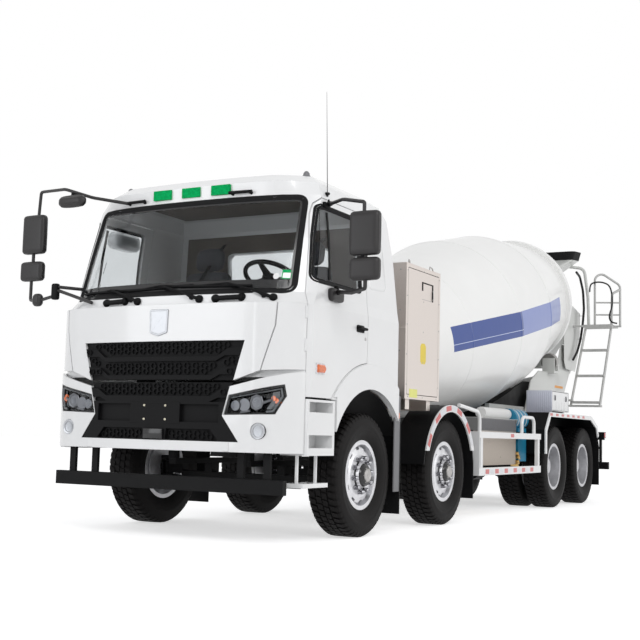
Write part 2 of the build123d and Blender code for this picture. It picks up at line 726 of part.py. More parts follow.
with BuildPart() as fender_edges:
    for side in (-1, 1):
        with BuildSketch(Plane.YZ.offset(side * edge_width[0])):
            with Locations((axle_y[1], axle_z)):
                Circle(fender_inner + fender_wall + 4)
                Circle(fender_inner - 48, mode=Mode.SUBTRACT)
            with Locations((axle_y[1], 740)):
                Rectangle(1600, 1000, align=(Align.CENTER, Align.MAX), mode=Mode.SUBTRACT)
        extrude(amount=side * (edge_width[1] - edge_width[0]))
        with BuildSketch(Plane.YZ.offset(side * edge_width[0])):
            with BuildLine():
                Polyline((axle_y[2] - 694, 700), (axle_y[2] - 694, 1002), (axle_y[2] - 502, 1226),
                         (axle_y[3] + 82, 1226), (axle_y[3] + 424, 1093), (axle_y[3] + 500, 948),
                         (axle_y[3] + 450, 925), (axle_y[3] + 384, 1050), (axle_y[3] + 68, 1168),
                         (axle_y[2] - 478, 1168), (axle_y[2] - 636, 980), (axle_y[2] - 636, 700), close=True)
            make_face()
        extrude(amount=side * (edge_width[1] - edge_width[0]))
save(fender_edges.part, "fender_edges")

with BuildPart() as side_guards:
    for side in (-1, 1):
        x0, x1 = sorted((side * 1200, side * 1240))
        block(x0, x1, -1040, 1090, 875, 944)
        block(x0, x1, -1040, 1090, 472, 556)
        for y in (-980, 1000):
            block(x0, x1, y - 35, y + 35, 556, 875)
        x0, x1 = sorted((side * 1100, side * 1200))
        for y in (-900, 880):
            block(x0, x1, y - 25, y + 25, 880, 940)
        x0, x1 = sorted((side * 1090, side * 1240))
        block(x0, x1, -1052, -1040, 472, 944)
        tube_path([(side * 1222, -1620, 1205), (side * 1222, -1010, 1150), (side * 1222, -1010, 930)], 21, 110)
        tube_path([(side * 1222, 400, 930), (side * 1222, 400, 1135), (side * 1222, 860, 1135),
                   (side * 1222, 860, 930)], 21, 90)
save(side_guards.part, "side_guards")

with BuildPart() as chassis_tanks:
    block(rail_outer_x, 1000, -450, 840, 565, 1110)
    # water tank behind the box, with a round tank lying on top
    block(rail_outer_x, 1000, 930, 1240, 600, 1010)
    with Locations((900, 1035, 1120)):
        Cylinder(125, 470, rotation=(90, 0, 0))
    # air tank on the box
    with Locations((900, 330, 1172)):
        Cylinder(65, 900, rotation=(90, 0, 0))
    with Locations((-720, 0, 800)):
        Cylinder(270, 1500, rotation=(90, 0, 0))
    block(-1000, -rail_outer_x, 920, 1240, 700, 1050)
save(chassis_tanks.part, "chassis_tanks")

# ---- steel cabinet behind the cab ----
cabinet = dict(x0=680, x1=1200, y0=-2920, y1=-2100, z0=1220, z1=2500)
sheet = 15
with BuildPart() as steel_cabinet:
    block(cabinet["x0"], cabinet["x1"], cabinet["y0"], cabinet["y1"], cabinet["z0"], cabinet["z1"])
    block(cabinet["x0"] + sheet, cabinet["x1"] - 60, cabinet["y0"] + sheet, cabinet["y1"] - sheet,
          cabinet["z0"] + sheet, cabinet["z1"] - sheet, mode=Mode.SUBTRACT)
    block(cabinet["x1"] - 61, cabinet["x1"] + 1, cabinet["y0"] + 40, cabinet["y1"] - 40,
          cabinet["z0"] + 40, cabinet["z1"] - 40, mode=Mode.SUBTRACT)
    for y in (-2750, -2250):
        block(rail_outer_x, 1150, y - 45, y + 45, 1125, cabinet["z0"])
save(steel_cabinet.part, "steel_cabinet")

with BuildPart() as cabinet_door:
    block(cabinet["x1"] - 20, cabinet["x1"], cabinet["y0"] + 46, cabinet["y1"] - 46,
          cabinet["z0"] + 46, cabinet["z1"] - 46)
save(cabinet_door.part, "cabinet_door")

# ---- tool box above the rear fender ----
toolbox = dict(x0=800, x1=1150, y0=1850, y1=2600, z0=1250, z1=1520)
with BuildPart() as tool_box:
    block(toolbox["x0"], toolbox["x1"], toolbox["y0"], toolbox["y1"], toolbox["z0"], toolbox["z1"])
    block(toolbox["x0"] + 8, toolbox["x1"] + 1, toolbox["y0"] + 8, toolbox["y1"] - 8,
          toolbox["z0"] + 8, toolbox["z1"] - 8, mode=Mode.SUBTRACT)
    for y in (1950, 2500):
        block(930, 1100, y - 30, y + 30, 1222, toolbox["z0"])
save(tool_box.part, "tool_box")

with BuildPart() as tool_box_door:
    block(toolbox["x1"] - 16, toolbox["x1"] - 4, toolbox["y0"] + 14, toolbox["y1"] - 14,
          toolbox["z0"] + 14, toolbox["z1"] - 14)
save(tool_box_door.part, "tool_box_door")

# ---- drum and its drive ----
axis_y = cos(radians(drum_tilt))
axis_z = sin(radians(drum_tilt))
drum_side = Plane(origin=(0, drum_start_y, drum_start_z), x_dir=(0, axis_y, axis_z), z_dir=(1, 0, 0))
drum_end = Plane(origin=(0, drum_start_y, drum_start_z), x_dir=(1, 0, 0), z_dir=(0, axis_y, axis_z))

# distance along the axis, outer radius
drum_sections = [(-60, 200), (0, 440), (60, 560), (520, 735), (2805, 1108), (4100, 1089), (ring_start, 881), (6050, 560)]

with BuildPart() as drum:
    with BuildSketch(drum_side):
        with BuildLine():
            inner = [(s + drum_wall * (s < 70), r - drum_wall) for s, r in drum_sections]
            Polyline((-60, 0), *drum_sections, *reversed(inner), (-60 + drum_wall, 0), close=True)
        make_face()
        with BuildLine():
            Polyline((ring_start, 872), (ring_start, ring_radius), (ring_start + ring_width, ring_radius),
                     (ring_start + ring_width, 812), close=True)
        make_face()
    revolve(axis=Axis((0, drum_start_y, drum_start_z), (0, axis_y, axis_z)))
    with BuildSketch(drum_end.offset(-380)):
        Circle(shaft_radius)
    extrude(amount=325)
save(drum.part, "drum")

with BuildPart() as front_pedestal:
    with BuildSketch(drum_end.offset(-380)):
        Circle(240)
    extrude(amount=260)
    with BuildSketch(drum_end.offset(-620)):
        Circle(180)
    extrude(amount=235)
    for side in (-1, 1):
        x0, x1 = sorted((side * 200, side * 420))
        block(x0, x1, -2390, -2230, subframe_low_z, 1480)
    block(-420, 420, -2390, -2230, 1260, 1400)
    with BuildSketch(drum_end.offset(-381)):
        Circle(shaft_radius + 10)
    extrude(amount=262, mode=Mode.SUBTRACT)
    with BuildSketch(drum_end.offset(-380)):
        Circle(150)
        Circle(shaft_radius + running_gap, mode=Mode.SUBTRACT)
    extrude(amount=260)
save(front_pedestal.part, "front_pedestal")

# support rollers under the drum's ring
roller_distance = ring_radius + 0.3 + roller_radius
roller_x = roller_distance * sin(radians(roller_angle))
roller_drop = roller_distance * cos(radians(roller_angle))
ring_middle = ring_start + ring_width / 2
for sign, side in ((1, "left"), (-1, "right")):
    with BuildPart() as roller:
        with BuildSketch(drum_end.offset(ring_middle - 45)):
            with Locations((sign * roller_x, roller_drop)):
                Circle(roller_radius)
                Circle(30 + running_gap, mode=Mode.SUBTRACT)
        extrude(amount=90)
    save(roller.part, f"roller_{side}")

pedestal_front = [(2500, subframe_top_z + 10), (2790, 1700), (3150, 1860), (4000, 1880), (4250, 2330)]
# rear edge on the left, and on the right where the chute swings past
pedestal_rear = {
    1: [(4790, 2330), (4790, 2090), (4900, 2035), (4660, 1880), (4420, 1610), (4400, subframe_top_z + 10)],
    -1: [(4800, 2330), (4800, 2080), (4400, 2080), (4400, subframe_top_z + 10)],
}
with BuildPart() as rear_pedestal:
    for side in (-1, 1):
        with BuildSketch(Plane.YZ.offset(side * 540)):
            with BuildLine():
                Polyline(*pedestal_front, *pedestal_rear[side], close=True)
            make_face()
        extrude(amount=side * 16)
        # roller brackets with their pins
        x0, x1 = sorted((side * 480, side * 660))
        for y in (3560, 3740):
            block(x0, x1, y - 10, y + 10, 1850, 2070)
        block(x0, x1, 3550, 3750, 1850, 1885)
        with BuildSketch(drum_end.offset(ring_middle - 105)):
            with Locations((side * roller_x, roller_drop)):
                Circle(30)
        extrude(amount=210)
        x0, x1 = sorted((side * rail_inner_x, side * 541))
        for y in (2560, 3300, 4100):
            block(x0, x1, y - 40, y + 40, subframe_top_z, 1290)
        # base beam under the drum
        x0, x1 = sorted((side * 480, side * 540))
        block(x0, x1, 1150, 2520, 1210, 1320)
        x0, x1 = sorted((side * rail_inner_x, side * 481))
        for y in (1360, 1900):
            block(x0, x1, y - 40, y + 40, subframe_top_z, 1290)
    block(-541, 541, 3300, 3380, 1400, 1520)
    block(-541, 541, 4320, 4400, 1240, 1380)
    block(-60, 60, 4390, 4700, 1240, 1380)
    with Locations((0, 4620, 1310)):
        Cylinder(40 + running_gap, 200, mode=Mode.SUBTRACT)
save(rear_pedestal.part, "rear_pedestal")


def level_section(half_x, half_y, y, z, tilt, radius, grow):
    """A rounded rectangle across a funnel, grown by its wall."""
    plane = Plane(origin=(0, y, z), x_dir=(1, 0, 0), z_dir=(0, -sin(radians(tilt)), cos(radians(tilt))))
    with BuildSketch(plane) as level:
        RectangleRounded(2 * (half_x + grow), 2 * (half_y + grow), radius + grow)
    return level.sketch


def funnel(levels, wall):
    """A hollow funnel open at both ends, between levels of (half x, half y, y, z, tilt, corner radius)."""
    for top, bottom in zip(levels, levels[1:]):
        loft([level_section(*top, wall), level_section(*bottom, wall)], ruled=True)
    for top, bottom in zip(levels, levels[1:]):
        loft([level_section(*top, 0), level_section(*bottom, 0)], ruled=True, mode=Mode.SUBTRACT)


hopper_rim = (632, 242, 4868, 3850, 5, 90)
hopper_neckline = (596, 216, 4868, 3716, 5, 70)
hopper_neck = (260, 190, 4140, 3250, 0, 50)
hopper_spout = (200, 150, 3910, 3020, 0, 40)
collector_rim = (592, 297, 4342, 2600, 0, 40)
collector_mouth = (170, 170, 4620, 2000, 0, 30)

with BuildPart() as hopper_skirt:
    funnel([hopper_rim, hopper_neckline], 8)
save(hopper_skirt.part, "hopper_skirt")

with BuildPart() as hopper:
    # posts of the platforms and the right platform
    for side in (-1, 1):
        x0, x1 = sorted((side * 557, side * 600))
        block(x0, x1, 4700, 4760, 2080, 2640)
        # bent tube from the platform up to the hopper
        tube_path([(side * 765, 5040, 2666), (side * 752, 5035, 3150), (side * 700, 5000, 3600),
                   (side * 400, 4900, 3640)], 24, 110)
    block(-790, -560, 4700, 5090, 2640, 2668)
    funnel([hopper_neckline, hopper_neck, hopper_spout], 8)
save(hopper.part, "hopper")

with BuildPart() as collector:
    for side in (-1, 1):
        x0, x1 = sorted((side * 557, side * 600))
        block(x0, x1, 4250, 4310, 2334, 2620)
    # side sheet on the left posts, notched round the platform's bearer
    with BuildSketch(Plane.YZ.offset(600)):
        with BuildLine():
            Polyline((4624, 2978), (4436, 2781), (4230, 2439), (4240, 2072), (4330, 1960), (4826, 1949), (5021, 2263),
                     (5100, 2600), (5112, 2887), close=True)
        make_face()
    extrude(amount=6)
    block(599, 607, 4700, 4760, 2635, 2670, mode=Mode.SUBTRACT)
    funnel([collector_rim, collector_mouth], 8)
save(collector.part, "collector")

with BuildPart() as chute_swivel:
    with Locations((0, 4620, 1340)):
        Cylinder(40, 320)
    with Locations((0, 4620, 1230)):
        Cylinder(70, 10, align=(Align.CENTER, Align.CENTER, Align.MAX))
    block(-50, 50, 4590, 4650, 1390, 1600)
    with Locations((0, 4620, 1560)):
        Cylinder(20, 140, rotation=(90, 0, 0))
save(chute_swivel.part, "chute_swivel")

chute_slope = 12
chute_start = Plane(origin=(170, 4620, 1875), x_dir=(0, 1, 0), z_dir=(-cos(radians(12)), 0, -sin(radians(12))))
with BuildPart() as chute:
    with BuildSketch(chute_start):
        Circle(206)
        Circle(200, mode=Mode.SUBTRACT)
        Rectangle(500, 300, align=(Align.CENTER, Align.MAX), mode=Mode.SUBTRACT)
    extrude(amount=1340)
    for y in (4560, 4660):
        block(-50, 50, y, y + 20, 1525, 1700)
    block(-50, 50, 4560, 4680, 1620, 1680)
    with BuildSketch(Plane.XZ.offset(-4700)):
        with Locations((0, 1560)):
            Circle(20 + running_gap)
    extrude(amount=200, mode=Mode.SUBTRACT)
    with BuildSketch(chute_start.offset(-1)):
        Circle(200)
    extrude(amount=1400, mode=Mode.SUBTRACT)
save(chute.part, "chute")

# ---- ladder and platform ----
ladder_foot = (4430, 1410)
ladder_top = (4750, 2650)
rung_z = [1460, 1870, 2270]

with BuildPart() as ladder:
    tube_path([(655, *ladder_foot), (800, *ladder_top)], 19, 10)
    tube_path([(1100, *ladder_foot), (1195, *ladder_top), (1200, 4775, 3150), (1300, 4890, 3230)], 19, 60)
    for z in rung_z:
        share = (z - ladder_foot[1]) / (ladder_top[1] - ladder_foot[1])
        x0 = 655 + share * 145
        x1 = 1100 + share * 95
        y = ladder_foot[0] + share * (ladder_top[0] - ladder_foot[0])
        block(x0, x1, y - 35, y + 35, z - 13, z + 13)
    # broad step at the foot
    block(632, 1122, ladder_foot[0] - 60, ladder_foot[0] + 50, ladder_foot[1] - 24, ladder_foot[1] + 6)
    block(745, 1215, 4700, 5090, 2640, 2665)
    block(560, 746, 4705, 4755, 2640, 2665)
    block(1214, 1310, 4870, 4910, 2640, 2665)
    block(790, 1215, 4700, 4710, 2600, 2641)
    # railing
    tube_path([(935, 4760, 2650), (935, 4760, 3550), (1295, 4890, 3290), (1295, 4890, 2650)], 17, 100)
    for z in (2830, 3020):
        tube_path([(935, 4760, z), (1295, 4890, z)], 12, 10)
    # foot on the pedestal
    block(556, 690, 4385, 4450, 1470, 1500)
save(ladder.part, "ladder")

# ---- wash hose over the railing ----
with BuildPart() as wash_hose:
    tube_path([(790, 5000, 3230), (850, 4775, 3300), (935, 4712, 3335), (1080, 4714, 3330), (1200, 4714, 3255),
               (1225, 4714, 2960), (1160, 4712, 2790), (1205, 4712, 2690), (1290, 4712, 2682)], 12, 40)
save(wash_hose.part, "wash_hose")
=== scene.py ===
import math
import random

import bmesh
import bpy
from mathutils import Matrix, Vector
from mathutils.bvhtree import BVHTree


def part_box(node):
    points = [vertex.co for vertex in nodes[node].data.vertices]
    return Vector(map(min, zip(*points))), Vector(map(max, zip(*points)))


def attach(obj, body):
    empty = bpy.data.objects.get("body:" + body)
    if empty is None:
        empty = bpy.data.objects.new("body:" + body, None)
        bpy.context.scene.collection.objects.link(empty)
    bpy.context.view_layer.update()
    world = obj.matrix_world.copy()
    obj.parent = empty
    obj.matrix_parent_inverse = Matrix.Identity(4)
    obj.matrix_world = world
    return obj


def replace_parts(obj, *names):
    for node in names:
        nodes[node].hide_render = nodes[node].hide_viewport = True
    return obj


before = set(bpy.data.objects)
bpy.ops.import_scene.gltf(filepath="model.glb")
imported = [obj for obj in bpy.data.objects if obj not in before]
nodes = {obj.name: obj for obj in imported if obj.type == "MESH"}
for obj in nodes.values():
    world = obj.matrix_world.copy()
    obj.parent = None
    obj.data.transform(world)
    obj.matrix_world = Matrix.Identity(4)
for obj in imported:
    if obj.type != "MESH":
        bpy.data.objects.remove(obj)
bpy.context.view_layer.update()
random.seed(7)

SIDES = (("left", 1), ("right", -1))
AXLE_Y = (-3.700, -1.850, 1.975, 3.325)
AXLE_Z = 0.530
UP = Vector((0, 0, 1))
BACK = Vector((0, 1, 0))
scene = bpy.context.scene

# ---------------------------------------------------------------- camera, light and floor

CAMERA_PLACE = Vector((5.470, -12.343, 0.869))
CAMERA_TURN = math.radians(28.823)
CAMERA_RISE = math.radians(5.876)
CAMERA_ROLL = math.radians(-1.49)
CAMERA_LENS = 62.48


def add_camera():
    forward = Vector((-math.sin(CAMERA_TURN) * math.cos(CAMERA_RISE),
                      math.cos(CAMERA_TURN) * math.cos(CAMERA_RISE), math.sin(CAMERA_RISE)))
    level = forward.cross(UP).normalized()
    above = level.cross(forward)
    right = level * math.cos(CAMERA_ROLL) - above * math.sin(CAMERA_ROLL)
    up = level * math.sin(CAMERA_ROLL) + above * math.cos(CAMERA_ROLL)
    camera = bpy.data.objects.new("camera", bpy.data.cameras.new("camera"))
    scene.collection.objects.link(camera)
    camera.matrix_world = Matrix((right, up, -forward)).transposed().to_4x4()
    camera.location = CAMERA_PLACE
    camera.data.lens = CAMERA_LENS
    camera.data.sensor_width = 36
    camera.data.clip_end = 200
    scene.camera = camera


def add_area_light(name, place, target, size, power, color=(1, 1, 1)):
    light = bpy.data.objects.new(name, bpy.data.lights.new(name, "AREA"))
    scene.collection.objects.link(light)
    light.location = place
    light.rotation_euler = (Vector(target) - Vector(place)).to_track_quat("-Z", "Y").to_euler()
    light.data.shape = "RECTANGLE"
    light.data.size = size[0]
    light.data.size_y = size[1]
    light.data.energy = power
    light.data.color = color


WHITE_SEEN = (1.0, 1.0, 1.0, 1)
WORLD_LIGHT = (0.98, 0.985, 1.0, 1)
WORLD_STRENGTH = 0.62
FLOOR_COLOR = (0.80, 0.80, 0.80, 1)
FLOOR_REACH = 60
FLOOR_LIFT = 0.58


def calc(tree, operation, a, b):
    """A sum of two values, each a plain number or another node's output."""
    node = tree.nodes.new("ShaderNodeMath")
    node.operation = operation
    for socket, value in zip(node.inputs, (a, b)):
        if isinstance(value, (int, float)):
            socket.default_value = value
        else:
            tree.links.new(value, socket)
    return node.outputs[0]


def seen_switch(tree):
    """1 where a ray comes straight from the camera, off a glossy surface or through glass."""
    path = tree.nodes.new("ShaderNodeLightPath").outputs
    return calc(tree, "MAXIMUM", calc(tree, "MAXIMUM", path["Is Camera Ray"], path["Is Glossy Ray"]),
                path["Is Transmission Ray"])


def emit(tree, kind, color, strength):
    """A background or emission shader."""
    node = tree.nodes.new(kind)
    node.inputs["Color"].default_value = color
    node.inputs["Strength"].default_value = strength
    return node.outputs[0]


def show(tree, unseen, seen, output):
    """One shader for what the camera sees, another for what lights the object."""
    mix = tree.nodes.new("ShaderNodeMixShader")
    for socket, value in zip(mix.inputs, (seen_switch(tree), unseen, seen)):
        tree.links.new(value, socket)
    tree.links.new(mix.outputs[0], tree.nodes.new(output).inputs["Surface"])


def add_world():
    world = bpy.data.worlds.new("studio")
    scene.world = world
    world.use_nodes = True
    tree = world.node_tree
    tree.nodes.clear()
    light = emit(tree, "ShaderNodeBackground", WORLD_LIGHT, WORLD_STRENGTH)
    white = emit(tree, "ShaderNodeBackground", WHITE_SEEN, 1.0)
    show(tree, light, white, "ShaderNodeOutputWorld")


def add_floor():
    mesh = bpy.data.meshes.new("floor")
    corners = ((-1, -1), (1, -1), (1, 1), (-1, 1))
    mesh.from_pydata([(FLOOR_REACH * x, FLOOR_REACH * y, 0) for x, y in corners], [], [(0, 1, 2, 3)])
    floor = bpy.data.objects.new("floor", mesh)
    scene.collection.objects.link(floor)
    mat = bpy.data.materials.new("floor_white")
    mat.use_nodes = True
    tree = mat.node_tree
    tree.nodes.clear()
    body = tree.nodes.new("ShaderNodeBsdfDiffuse")
    body.inputs["Color"].default_value = FLOOR_COLOR
    total = tree.nodes.new("ShaderNodeAddShader")
    tree.links.new(body.outputs[0], total.inputs[0])
    tree.links.new(emit(tree, "ShaderNodeEmission", WHITE_SEEN, FLOOR_LIFT), total.inputs[1])
    show(tree, body.outputs[0], total.outputs[0], "ShaderNodeOutputMaterial")
    mesh.materials.append(mat)


# ---------------------------------------------------------------- materials

def new_material(name):
    mat = bpy.data.materials.new(name)
    mat.use_nodes = True
    return mat, mat.node_tree, mat.node_tree.nodes["Principled BSDF"]


def feed(tree, shader, values):
    """Gives each named input of a shader its plain value or its link."""
    for name, value in values.items():
        if isinstance(value, (int, float)):
            shader.inputs[name].default_value = value
        else:
            tree.links.new(value, shader.inputs[name])


def object_noise(tree, scale, detail=4, rough=0.55, stretch=(1, 1, 1)):
    """Noise that stays on the piece."""
    place = tree.nodes.new("ShaderNodeTexCoord")
    mapping = tree.nodes.new("ShaderNodeMapping")
    mapping.inputs["Scale"].default_value = stretch
    noise = tree.nodes.new("ShaderNodeTexNoise")
    noise.inputs["Scale"].default_value = scale
    noise.inputs["Detail"].default_value = detail
    noise.inputs["Roughness"].default_value = rough
    tree.links.new(place.outputs["Object"], mapping.inputs["Vector"])
    tree.links.new(mapping.outputs[0], noise.inputs["Vector"])
    return noise.outputs["Fac"]


def ramp(tree, factor, stops):
    """A colour from a factor: stops of (place, colour)."""
    node = tree.nodes.new("ShaderNodeValToRGB")
    node.color_ramp.elements.remove(node.color_ramp.elements[0])
    for i, (place, color) in enumerate(stops):
        element = node.color_ramp.elements[0] if i == 0 else node.color_ramp.elements.new(place)
        element.position = place
        element.color = (*color, 1)
    tree.links.new(factor, node.inputs["Fac"])
    return node.outputs["Color"]


def to_range(tree, factor, low, high):
    node = tree.nodes.new("ShaderNodeMapRange")
    node.inputs["To Min"].default_value = low
    node.inputs["To Max"].default_value = high
    tree.links.new(factor, node.inputs["Value"])
    return node.outputs["Result"]


def along(tree, direction, origin):
    """Distance from a point along a direction, on the piece."""
    place = tree.nodes.new("ShaderNodeTexCoord")
    shifted = tree.nodes.new("ShaderNodeVectorMath")
    shifted.operation = "SUBTRACT"
    shifted.inputs[1].default_value = origin
    dot = tree.nodes.new("ShaderNodeVectorMath")
    dot.operation = "DOT_PRODUCT"
    dot.inputs[1].default_value = direction
    tree.links.new(place.outputs["Object"], shifted.inputs[0])
    tree.links.new(shifted.outputs[0], dot.inputs[0])
    return dot.outputs["Value"]


def both(tree, first, *others):
    """1 where all of some values are 1."""
    for other in others:
        first = calc(tree, "MULTIPLY", first, other)
    return first


def between(tree, value, low, high):
    """1 where a value lies between two others."""
    return both(tree, calc(tree, "GREATER_THAN", value, low), calc(tree, "LESS_THAN", value, high))


def mix_color(tree, factor, a, b):
    node = tree.nodes.new("ShaderNodeMix")
    node.data_type = "RGBA"
    tree.links.new(factor, node.inputs["Factor"])
    for socket, value in zip((node.inputs[6], node.inputs[7]), (a, b)):
        if isinstance(value, tuple):
            socket.default_value = (*value, 1)
        else:
            tree.links.new(value, socket)
    return node.outputs[2]


def set_normal(tree, shader, height, strength, distance, edge=0.0):
    """Bump from a height, over edges rounded by a small radius."""
    bump = tree.nodes.new("ShaderNodeBump")
    feed(tree, bump, {"Strength": strength, "Distance": distance, "Height": height})
    if edge:
        rounded_edge = tree.nodes.new("ShaderNodeBevel")
        rounded_edge.samples = 4
        rounded_edge.inputs["Radius"].default_value = edge
        tree.links.new(rounded_edge.outputs[0], bump.inputs["Normal"])
    tree.links.new(bump.outputs[0], shader.inputs["Normal"])


def shade(color, factor):
    return tuple(c * factor for c in color)


def paint(name, color, rough=0.22, coat=0.6, edge=0.006, dust=0.04, specular=0.5):
    """Glossy vehicle paint with slight orange peel and a trace of dust."""
    mat, tree, shader = new_material(name)
    feed(tree, shader, {
        "Base Color": ramp(tree, object_noise(tree, 1.3), [(0.35, shade(color, 1 - dust)), (0.65, color)]),
        "Roughness": to_range(tree, object_noise(tree, 9), rough * 0.8, rough * 1.25),
        "Specular IOR Level": specular, "Coat Weight": coat, "Coat Roughness": 0.06})
    set_normal(tree, shader, object_noise(tree, 260, detail=1), 0.035, 0.001, edge)
    return mat


def plastic(name, color, rough=0.55, grain=900, strength=0.18, edge=0.004, specular=0.5):
    """Moulded plastic with a fine grain."""
    mat, tree, shader = new_material(name)
    broad = object_noise(tree, 3)
    feed(tree, shader, {
        "Base Color": ramp(tree, broad, [(0.3, shade(color, 0.86)), (0.7, shade(color, 1.12))]),
        "Roughness": to_range(tree, broad, rough * 0.9, rough * 1.1),
        "Specular IOR Level": specular})
    set_normal(tree, shader, object_noise(tree, grain, detail=2), strength, 0.0006, edge)
    return mat


def film(name, color):
    """Plain stick-on film."""
    return plastic(name, color, rough=0.4, strength=0.05, edge=0.0)


def metal(name, color, rough=0.3, brushed=None, edge=0.003, metallic=1.0, strength=0.06):
    """Bare metal, with its brushing along one axis if any."""
    mat, tree, shader = new_material(name)
    grain = object_noise(tree, 60 if brushed else 14, detail=5, stretch=brushed or (1, 1, 1))
    feed(tree, shader, {
        "Metallic": metallic,
        "Base Color": ramp(tree, grain, [(0.3, shade(color, 0.88)), (0.7, shade(color, 1.06))]),
        "Roughness": to_range(tree, grain, rough * 0.75, rough * 1.35)})
    set_normal(tree, shader, grain, strength, 0.0008, edge)
    return mat


def tyre_rubber():
    mat, tree, shader = new_material("tyre_rubber")
    broad = object_noise(tree, 7)
    feed(tree, shader, {
        "Base Color": ramp(tree, broad, [(0.3, (0.005, 0.0045, 0.0045)), (0.7, (0.010, 0.009, 0.009))]),
        "Roughness": to_range(tree, broad, 0.52, 0.70),
        "Specular IOR Level": 0.12})
    set_normal(tree, shader, object_noise(tree, 420, detail=3), 0.25, 0.001)
    return mat


def glass(name, tint, ior, rough=0.02):
    mat, tree, shader = new_material(name)
    feed(tree, shader, {
        "Base Color": ramp(tree, object_noise(tree, 2.2), [(0.3, shade(tint, 0.95)), (0.7, tint)]),
        "Roughness": rough, "IOR": ior, "Transmission Weight": 1.0})
    return mat


def lamp_plastic(name, color, rough=0.12, coat=0.8, specular=0.5):
    """Translucent lamp plastic with fine ribs behind its face."""
    mat, tree, shader = new_material(name)
    ribs = object_noise(tree, 55, detail=1)
    feed(tree, shader, {
        "Base Color": ramp(tree, ribs, [(0.35, shade(color, 0.72)), (0.65, color)]),
        "Roughness": rough, "Specular IOR Level": specular, "Coat Weight": coat, "Coat Roughness": 0.03})
    set_normal(tree, shader, ribs, 0.25, 0.002, 0.003)
    return mat


def reflective_tape(name, color):
    """Retroreflective film with its cells."""
    mat, tree, shader = new_material(name)
    place = tree.nodes.new("ShaderNodeTexCoord")
    cells = tree.nodes.new("ShaderNodeTexVoronoi")
    cells.inputs["Scale"].default_value = 160
    tree.links.new(place.outputs["Object"], cells.inputs["Vector"])
    feed(tree, shader, {
        "Base Color": ramp(tree, cells.outputs["Distance"], [(0.1, color), (0.6, shade(color, 0.84))]),
        "Roughness": 0.28, "Coat Weight": 0.5})
    set_normal(tree, shader, cells.outputs["Distance"], 0.12, 0.0006)
    return mat


DRUM_ORIGIN = Vector((0, -2.003, 1.612))
DRUM_TILT = math.radians(13.2)
DRUM_AXIS = Vector((0, math.cos(DRUM_TILT), math.sin(DRUM_TILT)))
DRUM_OUT = Vector((0, -math.sin(DRUM_TILT), math.cos(DRUM_TILT)))
# band on the drum: where it starts, turns from dark to pale and ends along the axis, the heights of its edges
# at that end, and the slope with which each rises towards the start
BAND_START, BAND_TURN, BAND_END = 1.20, 2.87, 4.95
BAND_LOW, BAND_HIGH = -0.20, 0.13
BAND_LOW_SLOPE, BAND_HIGH_SLOPE = 0.034, 0.022
BAND_LINE = (BAND_LOW + 0.075, BAND_LOW + 0.082)
BAND_DARK, BAND_PALE, BAND_LINE_COLOR = (0.010, 0.050, 0.27), (0.15, 0.21, 0.52), (0.55, 0.62, 0.82)
WHITE = (0.80, 0.803, 0.805)
# the beige box of the left side: where its grey ribbed top starts, and its rear end
BOX_RIBS_LOW = 0.955
BOX_END = 0.842
CREAM = (0.90, 0.90, 0.885)


def drum_paint():
    """White drum with a two-tone blue band along its left side."""
    mat, tree, shader = new_material("drum_paint")
    distance = along(tree, DRUM_AXIS, DRUM_ORIGIN)
    height = along(tree, DRUM_OUT, DRUM_ORIGIN)
    outward = along(tree, Vector((1, 0, 0)), DRUM_ORIGIN)
    ahead = calc(tree, "SUBTRACT", BAND_END, distance)
    low = calc(tree, "SUBTRACT", height, calc(tree, "MULTIPLY", ahead, BAND_LOW_SLOPE))
    high = calc(tree, "SUBTRACT", height, calc(tree, "MULTIPLY", ahead, BAND_HIGH_SLOPE))
    band = both(tree, calc(tree, "GREATER_THAN", low, BAND_LOW), calc(tree, "LESS_THAN", high, BAND_HIGH),
                between(tree, distance, BAND_START, BAND_END), calc(tree, "GREATER_THAN", outward, 0.2))
    rear = calc(tree, "GREATER_THAN", distance, BAND_TURN)
    line = both(tree, between(tree, low, *BAND_LINE), calc(tree, "LESS_THAN", distance, BAND_TURN))
    blue = mix_color(tree, line, mix_color(tree, rear, BAND_DARK, BAND_PALE), BAND_LINE_COLOR)
    white = ramp(tree, object_noise(tree, 0.9), [(0.35, shade(CREAM, 0.95)), (0.65, CREAM)])
    feed(tree, shader, {
        "Base Color": mix_color(tree, band, white, blue),
        "Roughness": to_range(tree, object_noise(tree, 5), 0.26, 0.4),
        "Coat Weight": 0.35, "Coat Roughness": 0.12})
    set_normal(tree, shader, object_noise(tree, 3.5, detail=2), 0.10, 0.02)
    return mat


